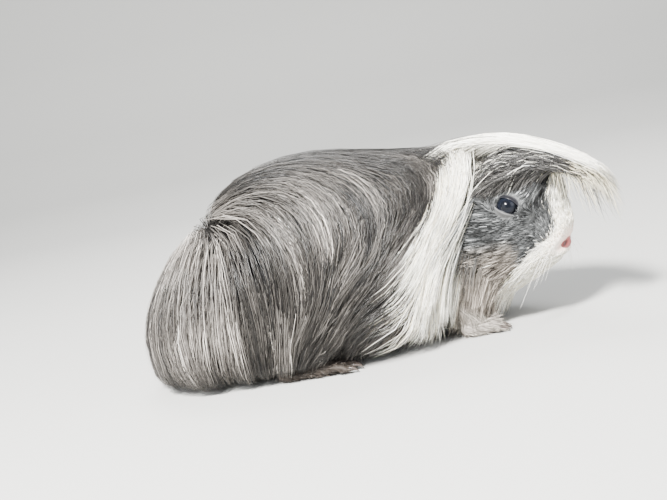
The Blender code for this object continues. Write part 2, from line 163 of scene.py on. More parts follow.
def loft(table, ringPoints, perStation):  # an oval tube through stations, closed at both ends
    knots = [row[0] for row in table]
    xs = np.concatenate([
        np.linspace(a, b, perStation, endpoint=False) for a, b in zip(knots[:-1], knots[1:])
    ] + [[knots[-1]]])
    top, middle, bottom, half, above, below = smoothCurve(table, xs)
    points, faces, rings = [], [], []
    for i, x in enumerate(xs):
        if half[i] < 0.3:
            rings.append([len(points)])
            points.append((x, 0, middle[i]))
            continue
        angle = np.linspace(0, 2 * math.pi, ringPoints, endpoint=False)
        side, rise = np.cos(angle), np.sin(angle)
        fullness = np.where(rise >= 0, above[i], below[i])
        reach = np.where(rise >= 0, top[i] - middle[i], middle[i] - bottom[i])
        ys = half[i] * np.sign(side) * np.abs(side) ** (2 / fullness)
        zs = middle[i] + reach * np.sign(rise) * np.abs(rise) ** (2 / fullness)
        rings.append(list(range(len(points), len(points) + ringPoints)))
        points += [(x, y, z) for y, z in zip(ys, zs)]
    for low, high in zip(rings[:-1], rings[1:]):
        count = max(len(low), len(high))
        for k in range(count):
            n = (k + 1) % count
            corners = [low[k % len(low)], low[n % len(low)], high[n % len(high)], high[k % len(high)]]
            faces.append(list(dict.fromkeys(corners)))
    for ring, flip in ((rings[0], True), (rings[-1], False)):
        if len(ring) > 1:
            faces.append(ring[::-1] if flip else ring)
    return points, faces


def tubeThrough(stations, around):  # a closed tube through [(centre, radius)]
    centres = np.array([c for c, _ in stations])
    tangent = unit(np.gradient(centres, axis=0))
    side = unit(np.cross(tangent, (0.1, 0.2, 1.0)))
    other = np.cross(tangent, side)
    points, faces = [], []
    for i, (centre, radius) in enumerate(stations):
        for j in range(around):
            a = 2 * math.pi * j / around
            points.append(centre + radius * (side[i] * math.cos(a) + other[i] * math.sin(a)))
    for i in range(len(stations) - 1):
        for j in range(around):
            n = (j + 1) % around
            a, b = i * around, (i + 1) * around
            faces.append((a + j, a + n, b + n, b + j))
    faces.append(tuple(range(around))[::-1])
    faces.append(tuple(range(len(points) - around, len(points))))
    return points, faces


def capsule(start, end, startRadius, endRadius, along=8):  # a rounded, tapering bar
    start, end = np.array(start, float), np.array(end, float)
    axis = unit(end - start)
    stations = []
    for k in range(along + 1):
        turn = math.pi / 2 * (1 - k / along)
        radius = max(startRadius * math.cos(turn), 0.02)
        stations.append((start - axis * startRadius * math.sin(turn), radius))
    for k in range(1, along + 1):
        turn = math.pi / 2 * k / along
        radius = max(endRadius * math.cos(turn), 0.02)
        stations.append((end + axis * endRadius * math.sin(turn), radius))
    return tubeThrough(stations, 16)


def joinParts(parts):  # [(points, faces)] as one point list and one face list
    points, faces = [], []
    for partPoints, partFaces in parts:
        base = len(points)
        points += [tuple(p) for p in partPoints]
        faces += [[base + i for i in face] for face in partFaces]
    return points, faces


def ballFaces(rows, around):  # a ball's faces, ring by ring from pole to pole
    faces = []
    for i in range(rows):
        for j in range(around):
            n = (j + 1) % around
            a, b = i * around, (i + 1) * around
            faces.append((a + j, b + j, b + n, a + n))
    return faces


def mirror(part):
    points, faces = part
    return [(x, -y, z) for x, y, z in points], [list(face)[::-1] for face in faces]


# Markings, shared by the skin and the coat. Places are seen from the side, with the head turned.
markings = {
    "white": (0.925, 0.892, 0.785),
    "cream": (0.88, 0.79, 0.59),
    "grey": (0.046, 0.042, 0.038),
    "faceGrey": (0.053, 0.055, 0.056),
    "forelockGrey": (0.044, 0.042, 0.040),
    "throat": (0.182, 0.160, 0.137),
    # the feet are dark brown, and darker still as painted shade low under the body
    "darkFootAndShade": (0.036, 0.029, 0.024),
}
bandEdges = [  # height, where the white band starts and ends
    (0, 29, 40), (12, 28, 42), (28, 25, 46), (45, 28, 51), (60, 36, 57), (75, 42, 62), (90, 42, 65),
    (102, 36, 68),
]
blazeEdge = [  # height, where the white of the muzzle starts
    (15, 68), (26, 79), (32, 86), (37, 94), (40, 101), (44, 105.5), (61, 103.5), (79, 103.5), (85, 105),
    (94, 109),
]
eyeSpot = {"centre": (88.6, 20.8, 69.0), "radius": 6.0, "axis": (0.20, 0.88, 0.30)}


def ragged(points, size):  # an uneven edge, so that no marking ends in a clean line
    a, z = np.abs(points[:, 1]), points[:, 2]
    return size * (np.sin(z * 0.31 + 1.3) + 0.7 * np.sin(a * 0.43 + z * 0.17))


def whiteAt(points):  # how white the coat is at a root, 0 to 1
    a = np.abs(points[:, 1])
    forward, z, _ = sideView(points)
    heights, starts, ends = np.array(bandEdges, float).T
    start = np.interp(z, heights, starts) + ragged(points, 1.2)
    end = np.interp(z, heights, ends) + ragged(points, 0.6)
    soft = 6 * fade(z, 62, 74)
    band = fade(forward, start - 1.5, start + 2.5) * (1 - fade(forward, end - 1.5 - soft / 3, end + 2 + soft))
    x = points[:, 0]
    reach = 15 + 10 * fade(x, 50, 56) * (1 - fade(x, 66, 76))
    strip = fade(x, 33, 40) * (1 - fade(a, reach - 5, reach)) * fade(points[:, 2], 78, 84)
    strip *= 1 - fade(x, 96, 100)
    heights, edge = np.array(blazeEdge, float).T
    edge = np.interp(z, heights, edge) + ragged(points, 0.8)
    blaze = fade(forward, edge - 1.5, edge + 2.5)
    return np.clip(np.maximum.reduce([band, strip, blaze]), 0, 1)


def greyAt(points):  # the colour of the hair that isn't white, with painted light and shade on the back and round the eye
    x, a, z = points[:, 0], np.abs(points[:, 1]), points[:, 2]
    forward, height, _ = sideView(points)
    grey = np.tile(np.array(markings["grey"]), (len(points), 1))
    warm = (1 - fade(x, -75, -40)) * (1 - fade(z, 20, 60))
    grey *= 1 + warm[:, None] * np.array((0.20, -0.02, -0.22))
    # the rump is paler, partly its own colour and partly painted sheen, and the top of the back is darker,
    # partly its own colour and partly painted shade
    grey *= (0.86 + 0.30 * (1 - fade(x, -85, -50)))[:, None]
    grey *= (1 - 0.28 * fade(z, 88, 100) * fade(x, -75, -50) * (1 - fade(x, 20, 40)))[:, None]
    # painted light and shade on the face: a paler ring of fur round the eye, painted shadow behind the eye,
    # painted shade low on the cheek, and painted light over the brow against the shade under the forelock
    nearEye = np.hypot(forward - 76.6, height - 64)
    temple = fade(x, 60, 66) * (1 - fade(z, 88, 94))
    shadow = np.exp(-((forward - 66) / 6) ** 2 - ((height - 56) / 11) ** 2)
    under = np.exp(-((forward - 74) / 9) ** 2 - ((height - 36) / 7) ** 2)
    for name, amount in (
        ("faceGrey", temple),
        ("forelockGrey", fade(x, 58, 64) * fade(z, 86, 92)),
        ("throat", fade(x, 38, 46) * (1 - fade(height, 32, 46)) * (1 - fade(forward, 78, 84))),
        ("darkFootAndShade", (1 - fade(z, 9, 13)) * (1 - fade(a, 60, 70)) * (1 - fade(x, 20, 30))),
    ):
        grey += (np.array(markings[name]) - grey) * amount[:, None]
    ring = np.exp(-((nearEye - 9.5) / 2.6) ** 2) * fade(height, 52, 60)
    brow = fade(z, 70, 80) * (1 - fade(z, 92, 96))
    grey *= (1 + temple * (0.75 * ring - 0.45 * shadow - 0.35 * under + 1.0 * brow))[:, None]
    return grey


# Skin: one mesh from body, ears, legs and toes
skinStations = [  # x, top, height of the widest part, bottom, half width, fullness above and below
    (-121, 52, 50, 48, 0.0, 2.0, 2.0),
    (-118, 64, 50, 30, 17, 2.0, 2.0),
    (-110, 75, 48, 20, 29, 2.0, 2.1),
    (-98, 84.5, 46, 14.5, 38, 2.1, 2.2),
    (-80, 97, 45, 12, 44, 2.15, 2.3),
    (-58, 104.0, 45, 11, 47, 2.15, 2.4),
    (-32, 105.5, 45, 10.5, 47.5, 2.1, 2.4),
    (-8, 101.5, 45, 11, 45, 2.1, 2.4),
    (15, 96.0, 45, 13, 41, 2.1, 2.3),
    (32, 93.5, 46, 15, 37, 2.1, 2.2),
    (45, 92.5, 46.5, 15, 34.5, 2.1, 2.1),
    (56, 91.5, 47, 16, 33.5, 2.1, 2.1),
    (66, 90.6, 48.5, 16.5, 31.8, 2.15, 2.1),
    (74, 89.7, 49.5, 18.5, 29.9, 2.15, 2.1),
    (82, 88.3, 50.5, 20.7, 27.4, 2.1, 2.1),
    (90, 86.6, 51, 24.3, 24.3, 2.05, 2.1),
    (96, 84.8, 51, 27.8, 21.5, 2.05, 2.1),
    (101, 82.8, 50.5, 30.8, 18.8, 2.1, 2.3),
    (105, 80.2, 50, 32.8, 16.1, 2.2, 2.5),
    (108.2, 76.5, 49, 34.8, 13.3, 2.3, 2.7),
    (110.4, 70.5, 48, 36.6, 10.8, 2.4, 2.8),
    (112.0, 62.0, 47.5, 38.8, 7.8, 2.4, 2.6),
    (112.9, 54.5, 47.5, 42.0, 0.0, 2.0, 2.0),
]
feet = {
    "foreleg": {"ankle": (44, 31), "length": 20.0, "width": 13.0, "toes": 4, "turn": 6,
                "legTop": (38, 27, 42), "legRadius": 8.5},
    "hindleg": {"ankle": (-60, 49), "length": 39.0, "width": 13.5, "toes": 3, "turn": 9,
                "legTop": (-58, 36, 44), "legRadius": 14},
}
ear = {"root": (60.0, 18.0, 83.0), "out": (-0.24, 0.86, -0.45), "across": (0.86, 0.12, -0.35),
       "length": 20.0, "width": 16.0, "thick": 1.8}
skinDetail = {"voxel": 1.0, "smoothing": 3, "lowest": 0.3}


def earPart():
    root, out = np.array(ear["root"]), unit(np.array(ear["out"]))
    across = np.array(ear["across"])
    across = unit(across - across.dot(out) * out)
    face = np.cross(out, across)
    rows, columns = 26, 19
    points, faces = [], []
    for side in (1, -1):
        for i in range(rows):
            t = i / (rows - 1)
            half = ear["width"] / 2 * (math.sin(math.pi * (0.2 + 0.78 * t) ** 0.8) ** 0.7 + 0.02)
            for k in range(columns):
                s = 2 * k / (columns - 1) - 1
                ripple = 0.5 * math.sin(5 * s + 3 * t) * t
                cup = 2.6 * s * s * (1 - 0.4 * t) - 1.5 * t * t + ripple
                rim = ear["thick"] / 2 * (1 - 0.3 * s * s)
                points.append(root + out * ear["length"] * t + across * half * s + face * (cup + side * rim))
    sheet = rows * columns
    for i in range(rows - 1):
        for k in range(columns - 1):
            a, b = i * columns + k, (i + 1) * columns + k
            faces.append((a, b, b + 1, a + 1))
            faces.append((sheet + a, sheet + a + 1, sheet + b + 1, sheet + b))
    rim = list(range(columns)) + [i * columns + columns - 1 for i in range(1, rows)]
    rim += [(rows - 1) * columns + k for k in range(columns - 2, -1, -1)]
    rim += [i * columns for i in range(rows - 2, 0, -1)]
    for a, b in zip(rim, rim[1:] + rim[:1]):
        faces.append((a, b, sheet + b, sheet + a))
    return points, faces


def legParts(shape):  # a left leg and its claws
    turn = math.radians(shape["turn"])
    ahead = np.array((math.cos(turn), math.sin(turn), 0))
    across = np.array((-ahead[1], ahead[0], 0))
    ankle = np.array((*shape["ankle"], 7.0))
    flesh = [capsule(ankle, shape["legTop"], shape["width"] * 0.44, shape["legRadius"])]
    length, width = shape["length"], shape["width"]
    for offset in (-0.22, 0.22):
        heel = ankle - ahead * 3 + across * offset * width
        ball = ankle + ahead * length * 0.52 + across * offset * width
        heel[2], ball[2] = 4.9, 4.3
        flesh.append(capsule(heel, ball, 4.4, 3.9))
    claws = []
    for k in range(shape["toes"]):
        spread = (k - (shape["toes"] - 1) / 2) / (shape["toes"] - 1) * 2
        base = ankle + ahead * length * 0.46 + across * spread * width * 0.30
        reach = length * 0.54 - 5 - abs(spread) * 1.8
        knuckle = base + ahead * reach * 0.55 + across * spread * 0.9
        tip = base + ahead * reach + across * spread * 1.5
        base[2], knuckle[2], tip[2] = 4.2, 4.9, 2.7
        flesh.append(capsule(base, knuckle, 2.5, 2.3))
        flesh.append(capsule(knuckle, tip, 2.3, 1.9))
        stations = []
        for j in range(9):  # the claw curves down to the floor
            s = j / 8
            centre = tip + ahead * (0.6 + 6.2 * s)
            centre[2] = 2.9 + 0.5 * math.sin(math.pi * s) - 2.2 * s * s
            stations.append((centre, 1.15 * (1 - s) ** 0.7 + 0.12))
        claws.append(tubeThrough(stations, 10))
    return flesh, claws


def shapeFace(points):  # cheeks, the bed of the eyes and lids, nose and mouth
    p = points.copy()
    side = np.where(p[:, 1] < 0, -1.0, 1.0)
    x, a, z = p[:, 0], np.abs(p[:, 1]), p[:, 2]
    cheek = 2.2 * np.exp(-((x - 85) / 12) ** 2 - ((z - 47) / 12) ** 2)
    hollow = 1.4 * np.exp(-((x - 101) / 6) ** 2 - ((z - 66) / 9) ** 2)
    pad = 1.5 * np.exp(-((x - 108) / 5) ** 2 - ((z - 42) / 5.5) ** 2)
    p[:, 1] += side * fade(a, 1, 6) * (cheek - hollow + pad)
    p[:, 0] -= 2.8 * fade(x, 102, 108) * np.exp(-((a - 8.0) / 4.0) ** 2 - ((z - 41.5) / 3.8) ** 2)
    p[:, 0] += 2.2 * fade(x, 102, 109) * np.exp(-(a / 12) ** 2 - ((z - 54) / 7) ** 2)
    p[:, 0] -= 2.4 * fade(x, 104, 109) * np.exp(-(a / 4.2) ** 2 - ((z - 42.2) / 3.6) ** 2)
    mouthHeight = 35.2 - 0.06 * (112 - x) + 0.05 * a
    groove = np.exp(-((z - mouthHeight) / 1.1) ** 2) * fade(x, 95, 99)
    p[:, 0] -= 1.5 * groove * fade(x, 99, 105)
    p[:, 1] -= side * 1.3 * groove * fade(a, 3, 7)
    cleft = np.exp(-(a / 1.0) ** 2) * fade(x, 106, 109) * (1 - fade(z, 38, 40)) * fade(z, 33, 35)
    p[:, 0] -= 1.3 * cleft
    centre, axis = np.array(eyeSpot["centre"]), unit(np.array(eyeSpot["axis"]))
    for sign in (1, -1):
        flip = np.array((1, sign, 1))
        away = p - centre * flip
        depth = away @ (axis * flip)
        radial = np.linalg.norm(away - depth[:, None] * (axis * flip), axis=1)
        near = (depth > -9) & (radial < 15)
        target = 2.2 - 0.15 * np.maximum(radial - 7.4, 0) ** 1.5
        lifted = np.maximum(depth, np.minimum(target, depth + 3.4))
        pressed = np.where(radial < 5.8, np.minimum(lifted, -1.0), lifted)
        move = np.where(near, pressed - depth, 0)
        p += move[:, None] * (axis * flip)
    return p


def smoothed(thing, times):
    relax = thing.modifiers.new("relax", "SMOOTH")
    relax.factor, relax.iterations = 0.5, times
    return applied(thing)


print("skin")
bodyPart = loft(skinStations, 64, 4)
fleshParts, clawParts = [bodyPart, earPart(), mirror(earPart())], []
for shape in feet.values():
    flesh, claws = legParts(shape)
    fleshParts += flesh + [mirror(part) for part in flesh]
    clawParts += claws + [mirror(part) for part in claws]
skin = makeObject("skin", *joinParts(fleshParts))
faceOutward(skin)
remesh = skin.modifiers.new("oneSkin", "REMESH")
remesh.mode = "VOXEL"
remesh.voxel_size = skinDetail["voxel"] * mm
smoothed(skin, skinDetail["smoothing"])
setPoints(skin, shapeFace(pointsOf(skin)))
smoothed(skin, 1)
skin.data.shade_smooth()
claws = makeObject("claws", *joinParts(clawParts))
skinPoints = pointsOf(skin)
skinPoints[:, 2] = np.maximum(skinPoints[:, 2], skinDetail["lowest"])
setPoints(skin, skinPoints)
skinFaces = [list(p.vertices) for p in skin.data.polygons]
print("skin has", len(skinPoints), "points")


# How far any place is from the skin, and from the outside of the coat
coatStations = [  # x, top, height of the widest part, bottom, half width, fullness above and below
    (-145.5, 27, 25, 7, 0.0, 2.0, 3.0),
    (-143.5, 38, 26, 3, 17.0, 2.0, 3.0),
    (-138, 50, 28, -2, 33.0, 2.0, 3.0),
    (-130, 63, 30, -4, 46.0, 2.05, 3.0),
    (-119, 76, 31, -6, 56.0, 2.1, 3.0),
    (-105, 89, 32, -7, 62.5, 2.15, 3.0),
    (-90, 101, 33, -7, 66.0, 2.2, 3.0),
    (-74, 111, 34, -7, 68.0, 2.2, 3.0),
    (-54, 116.5, 34, -7, 69.0, 2.2, 3.0),
    (-30, 118.5, 34, -7, 69.0, 2.2, 3.0),
    (-5, 115, 34, -7, 67.0, 2.15, 3.0),
    (20, 109.8, 35, -7, 62.5, 2.1, 3.0),
    (40, 107.4, 37, -7, 56.0, 2.1, 3.0),
    (50, 107.9, 40, -6, 51.0, 2.1, 3.0),
    (58, 108.6, 42, -4, 46.0, 2.1, 2.8),
    (68, 108.8, 44, 0, 41.5, 2.0, 2.5),
    (78, 107, 47, 8, 37.0, 2.0, 2.3),
    (88, 102, 49, 16, 31.5, 2.0, 2.2),
    (98, 95, 49, 23, 25.5, 2.0, 2.2),
    (106, 86, 48, 29, 19.5, 2.0, 2.2),
    (112, 74, 47, 34, 13.0, 2.0, 2.2),
    (117, 56, 46, 40, 0.0, 2.0, 2.0),
]
grid = {"low": np.array((-165.0, -90.0, -8.0)), "high": np.array((135.0, 90.0, 136.0)), "step": 4.0}


def treeOf(points, faces):
    return BVHTree.FromPolygons([tuple(p) for p in points], [list(f) for f in faces])


def distanceField(tree):
    axes = [np.arange(grid["low"][i], grid["high"][i] + 0.1, grid["step"]) for i in range(3)]
    field = np.empty([len(a) for a in axes])
    nearest = tree.find_nearest
    for i, x in enumerate(axes[0]):
        for j, y in enumerate(axes[1]):
            for k, z in enumerate(axes[2]):
                spot = Vector((x, y, z))
                place, normal, _, distance = nearest(spot)
                field[i, j, k] = distance if (spot - place).dot(normal) >= 0 else -distance
    return field


def sampleField(field, points):  # field is (nx, ny, nz, values)
    place = (points - grid["low"]) / grid["step"]
    place = np.clip(place, 0.001, np.array(field.shape[:3]) - 1.001)
    cell = place.astype(int)
    t = place - cell
    total = 0
    for i in (0, 1):
        for j in (0, 1):
            for k in (0, 1):
                weight = (t[:, 0] if i else 1 - t[:, 0]) * (t[:, 1] if j else 1 - t[:, 1])
                weight = weight * (t[:, 2] if k else 1 - t[:, 2])
                total = total + field[cell[:, 0] + i, cell[:, 1] + j, cell[:, 2] + k] * weight[:, None]
    return total


print("fields")
skinDistance = distanceField(treeOf(*bodyPart))
coatDistance = distanceField(treeOf(*loft(coatStations, 48, 2)))
slopes = np.stack(np.gradient(skinDistance, grid["step"]), axis=-1)
bodyField = np.concatenate([skinDistance[..., None], coatDistance[..., None], slopes], axis=-1)


# The lie of the long coat, as guide strands seen from the side. Each has its start in millimetres forward
# and up, its first and last heading (0 forward, -90 down, 180 backward), its length, and how soon it
# turns: 1 evenly, and less the sooner.
guideStrands = {
    "back": (-45, 119, 0, -10, 75, 1.0),
    "overRump": (-82, 107, 35, -85, 80, 0.9),
    "acrossRump": (-89, 95, 20, -100, 85, 0.55),
    "downRump": (-91, 89, -30, -100, 85, 0.32),
    "belowParting": (-101, 73, -100, -100, 45, 1.0),
    "behindParting": (-107, 86, -150, -90, 70, 0.9),
    "flank": (-26, 106, -20, -120, 75, 1.0),
    "shoulder": (16, 109, -10, -130, 58, 0.95),
    "shoulderSweep": (14, 57, -140, -155, 25, 1.0),
    "lowSweep": (20, 41, -135, -155, 28, 1.0),
    "thigh": (-28, 40, -110, -130, 22, 1.0),
    "bandTop": (55, 104, -20, -75, 11, 1.0),
    "bandRear": (62, 84, -102, -115, 18, 1.0),
    "bandSweep": (40, 56, -118, -134, 36, 1.0),
    "bandFront": (67, 92, -92, -120, 48, 0.5),
    "bandMiddle": (35, 34, -108, -102, 20, 1.0),
    "bandHem": (42, 38, -115, -110, 20, 1.0),
    "neck": (70, 36, -125, -100, 18, 1.0),
    "throat": (80, 28, -130, -130, 5, 1.0),
}
combing = {"spacing": 18.0, "reach": 9.0, "farShare": 1e-4, "farReach": 20.0, "start": 0.25, "under": 0.4}
rosette = {"centre": np.array((-97.0, 0.0, 86.0)), "reach": 17.0, "nearRise": 11.0, "farRise": 40.0,
           "grows": (14.0, 48.0)}
hem = {"low": 0.9, "spread": 3.5, "wisp": 17}


def guidePlaces():  # forward, height and heading at places along every guide strand
    places = []
    for forward, height, first, last, length, soon in guideStrands.values():
        count = max(round(length / combing["spacing"]), 1)
        turns = first + (last - first) * np.linspace(0, 1, count + 1) ** soon
        headings = np.radians(np.append(turns, last))
        for here, ahead in zip(headings[:-1], headings[1:]):
            places.append((forward, height, here))
            forward += length / count * math.cos((here + ahead) / 2)
            height += length / count * math.sin((here + ahead) / 2)
    return np.array(places)


guides = guidePlaces()


def coatFlow(points, normals, side):  # the direction the long hair runs in at each point
    forward, height, squeeze = sideView(points)
    away = (forward[:, None] - guides[:, 0]) ** 2 + (height[:, None] - guides[:, 1]) ** 2
    weight = np.exp(-away / (2 * combing["reach"] ** 2))
    weight += combing["farShare"] / (1 + away / combing["farReach"] ** 2)
    weight /= weight.sum(axis=1, keepdims=True)
    ahead = weight @ np.cos(guides[:, 2]) / squeeze
    rise = weight @ np.sin(guides[:, 2])
    up = np.clip(normals[:, 2], 0, 1)
    aside = np.abs(points[:, 1])
    outward = np.maximum(-rise, 0) * up * fade(aside, -3, 13) + 0.12 * np.clip(aside / 50, 0, 1)
    flow = unit(np.stack([ahead, side * outward, rise], axis=1))
    burst = points - rosette["centre"]
    burst[:, 2] *= 0.6
    near = np.exp(-(np.linalg.norm(burst, axis=1) / rosette["reach"]) ** 2)[:, None]
    return flow * (1 - near) + unit(burst) * near


paintedSheenAndShade = [  # painted highlights and painted shade on the long coat: forward, height, how far each way, and how much paler (or darker) the hair is painted there
    (-99, 78, 15, 14, 2.3), (-83, 86, 9, 10, 1.6), (-119, 56, 8, 18, 0.9), (-124, 18, 18, 16, 2.0),
    (-98, 18, 18, 12, 1.2), (-77, 105, 15, 4.5, -0.72), (-57, 109, 16, 4, -0.6), (-72, 62, 6, 15, -0.5),
    (-54, 58, 6, 15, -0.5), (-62, 80, 7, 12, 0.4), (-92, 95, 8, 4.5, -0.6), (-88, 50, 5, 16, -0.3),
    (-108, 42, 5, 14, -0.35), (-8, 24, 10, 7, -0.75), (-22, 17, 8, 5, -0.5), (4, 15, 10, 6, -0.3),
    (-25, 116, 48, 8, -0.75), (20, 108, 20, 7, -0.6), (31, 80, 6, 12, -0.5), (-20, 84, 12, 9, 0.35),
    (10, 88, 12, 7, 0.25), (24, 52, 10, 10, 0.4), (-38, 38, 12, 10, 0.4), (-30, 100, 16, 5, 0.25),
    (-5, 62, 9, 9, -0.25),
]


def paintedLightAt(path):  # painted highlight and shade for every ring of every tuft
    forward, height, _ = sideView(path.reshape(-1, 3))
    gain = np.ones(len(forward))
    for ahead, high, wide, tall, amount in paintedSheenAndShade:
        gain += amount * np.exp(-((forward - ahead) / wide) ** 2 - ((height - high) / tall) ** 2)
    return np.maximum(gain, 0.18).reshape(path.shape[:2])


def riseReach(roots):  # hair stands up at once round the rosette, and slowly elsewhere
    away = np.linalg.norm((roots - rosette["centre"]) * (1, 1, 0.6), axis=1)
    low, high = rosette["nearRise"], rosette["farRise"]
    crown = fade(roots[:, 0], 36, 48) * fade(roots[:, 2], 76, 88)
    return (low + (high - low) * fade(away, *rosette["grows"])) * (1 - 0.72 * crown)


def growStrands(roots, lengths, lift, reach, steps, side, sway):
    points = roots.copy()
    step = lengths / steps
    path, normals = [points.copy()], []
    travelled = np.zeros(len(roots))
    for k in range(steps + 1):
        values = sampleField(bodyField, points)
        normal = unit(values[:, 2:5])
        normals.append(normal)
        if k == steps:
            break
        flow = coatFlow(points, normal, side)
        flow = unit(flow - (flow * normal).sum(axis=1, keepdims=True) * normal)
        flow = unit(flow + np.cross(normal, flow) * sway[:, None])
        moved = points + flow * step[:, None]
        travelled += step
        values = sampleField(bodyField, moved)
        depth = np.maximum(values[:, 0] - values[:, 1], 1.0)
        rise = np.clip(travelled / reach, 0, 1) ** 0.7
        height = combing["start"] + lift * rise * (depth - combing["under"])
        change = np.clip(height - values[:, 0], -0.9 * step, 1.1 * step)
        moved += unit(values[:, 2:5]) * change[:, None]
        points = moved
        path.append(points.copy())
    return np.stack(path, axis=1), np.stack(normals, axis=1)


def cutAtHem(path, normals, levels, rings):  # ends each strand at its own level above the floor
    below = path[:, :, 2] < levels[:, None]
    count = path.shape[1]
    last = np.where(below.any(axis=1), np.maximum(below.argmax(axis=1), 2), count - 1).astype(float)
    place = last[:, None] * np.linspace(0, 1, rings + 1)[None, :]
    cell = np.clip(place.astype(int), 0, count - 2)
    t = (place - cell)[:, :, None]
    rows = np.arange(len(path))[:, None]
    cut = path[rows, cell] * (1 - t) + path[rows, cell + 1] * t
    cut[:, :, 2] = np.maximum(cut[:, :, 2], 0.6)
    return cut, unit(normals[rows, cell] * (1 - t) + normals[rows, cell + 1] * t)


lockShape = {"power": 1.3, "ownPull": (0.6, 1.0)}


def gatherLocks(path, perLock, strength):  # draws strands toward the middle one of their lock
    count = len(path)
    locks = rng.choice(count, max(count // perLock, 1), replace=False)
    tree = kdtree.KDTree(len(locks))
    for i, index in enumerate(locks):
        tree.insert(path[index, path.shape[1] // 3], i)
    tree.balance()
    owner = np.array([locks[tree.find(p)[1]] for p in path[:, path.shape[1] // 3]])
    t = np.linspace(0, 1, path.shape[1])
    lockPull = rng.uniform(*strength, count)[owner]
    ownPull = rng.uniform(*lockShape["ownPull"], count)
    pull = (lockPull * ownPull)[:, None] * t[None, :] ** lockShape["power"]
    return path + (path[owner] - path) * pull[:, :, None], owner


tuftShape = {"places": (0, 0.12, 0.5, 0.8, 1), "widths": (0.55, 1.0, 0.95, 0.62, 0.16), "sideShade": 0.13,
             "tipShade": 1.12, "patchShade": 0.24}
coatCount = []


def tufts(name, path, normals, width, thick, colours, twist=0.35, rootPaintedShade=0.4, share=None, paintedLight=None):
    count, rings = path.shape[0], path.shape[1]
    t = np.linspace(0, 1, rings)
    tangent = unit(np.gradient(path, axis=1))
    across = unit(np.cross(tangent, normals))
    over = np.cross(across, tangent)
    rootTwist, tipTwist = rng.normal(0, twist, count), rng.normal(0, twist, count)
    angle = rootTwist[:, None, None] + tipTwist[:, None, None] * t[:, None]
    across, over = (across * np.cos(angle) + over * np.sin(angle),
                    over * np.cos(angle) - across * np.sin(angle))
    profile = np.interp(t, tuftShape["places"], tuftShape["widths"])
    half = (width[:, None] * profile[None, :])[:, :, None] / 2
    high = (thick[:, None] * profile[None, :])[:, :, None]
    corners = np.stack([path - across * half - over * high * 0.3,
                        path + across * half - over * high * 0.3,
                        path + over * high * 0.7], axis=2)[:, :-1]
    points = np.concatenate([corners.reshape(count, (rings - 1) * 3, 3), path[:, -1:]], axis=1)
    size = points.shape[1]
    root = path[:, 0]
    points = turned(points, 1.0 if share is None else share(points))
    quads = []
    for r in range(rings - 2):
        for k in range(3):
            n = (k + 1) % 3
            quads.append((r * 3 + k, r * 3 + n, r * 3 + 3 + n, r * 3 + 3 + k))
    tip, lastRing = size - 1, (rings - 2) * 3
    tris = [(2, 1, 0)] + [(lastRing + k, lastRing + (k + 1) % 3, tip) for k in range(3)]
    base = np.arange(count)[:, None, None] * size
    quadArray = (np.array(quads)[None] + base).reshape(-1, 4)
    triArray = (np.array(tris)[None] + base).reshape(-1, 3)
    mesh = bpy.data.meshes.new(name)
    mesh.vertices.add(count * size)
    mesh.vertices.foreach_set("co", placed(points).astype(np.float32).ravel())
    loops = np.concatenate([quadArray.ravel(), triArray.ravel()])
    mesh.loops.add(len(loops))
    mesh.loops.foreach_set("vertex_index", loops.astype(np.int32))
    starts = np.concatenate([np.arange(len(quadArray)) * 4,
                             len(quadArray) * 4 + np.arange(len(triArray)) * 3])
    mesh.polygons.add(len(starts))
    mesh.polygons.foreach_set("loop_start", starts.astype(np.int32))
    mesh.update(calc_edges=True)
    mesh.shade_smooth()
    along = np.concatenate([np.repeat(t[:-1], 3), [1.0]])
    # painted shade: each tuft is darker at its root, under the hair above it, and a little lighter at its tip
    shade = np.interp(along, [0, 0.3, 0.8, 1], [rootPaintedShade, 0.95, 1.0, tuftShape["tipShade"]])[None, :]
    ripples, offset = rng.uniform(5, 16, count), rng.uniform(0, 6.3, count)
    patches = tuftShape["patchShade"] * np.sin(along[None] * ripples[:, None] + offset[:, None])
    corner = np.concatenate([np.tile([-1.0, 1.0, 0.2], rings - 1), [0.0]])[None]
    shade = shade * (1 + patches) * (1 + corner * rng.normal(0, tuftShape["sideShade"], count)[:, None])
    if paintedLight is not None:  # painted highlights and shade leave white hair as it is
        paintedLight = 1 + (paintedLight - 1) * (colours.mean(axis=1) < 0.4)[:, None]
        shade = shade * np.concatenate([np.repeat(paintedLight[:, :-1], 3, axis=1), paintedLight[:, -1:]], axis=1)
    tint = np.ones((count, size, 4), np.float32)
    tint[:, :, :3] = np.clip(colours[:, None, :] * shade[:, :, None], 0.004, 0.96)
    mesh.color_attributes.new("coatTint", "FLOAT_COLOR", "POINT").data.foreach_set("color", tint.ravel())
    middle = smoothCurve(skinStations, np.clip(root[:, 0], -120.9, 112.8))[1]
    u = (root[:, 0] + 130) / 265 * 0.98 + 0.01
    v = (np.arctan2(root[:, 2] - middle, root[:, 1]) / (2 * math.pi)) % 1.0 * 0.985 + 0.005
    patch = np.stack([np.concatenate([np.tile([0, 0.0015, 0.003], rings - 1), [0.0015]]),
                      along * 0.003], axis=1)
    uv = np.stack([u, v], axis=1)[:, None, :] + patch[None]
    layer = mesh.uv_layers.new(name="OFBake")
    layer.data.foreach_set("uv", uv.reshape(-1, 2)[loops].astype(np.float32).ravel())
    made = bpy.data.objects.new(name, mesh)
    bpy.context.scene.collection.objects.link(made)
    made.data.materials.append(coatMaterial)
    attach(made, "root")
    triangles = len(quadArray) * 2 + len(triArray)
    coatCount.append(triangles)
    print(name, count, "tufts,", triangles, "triangles")
    return made


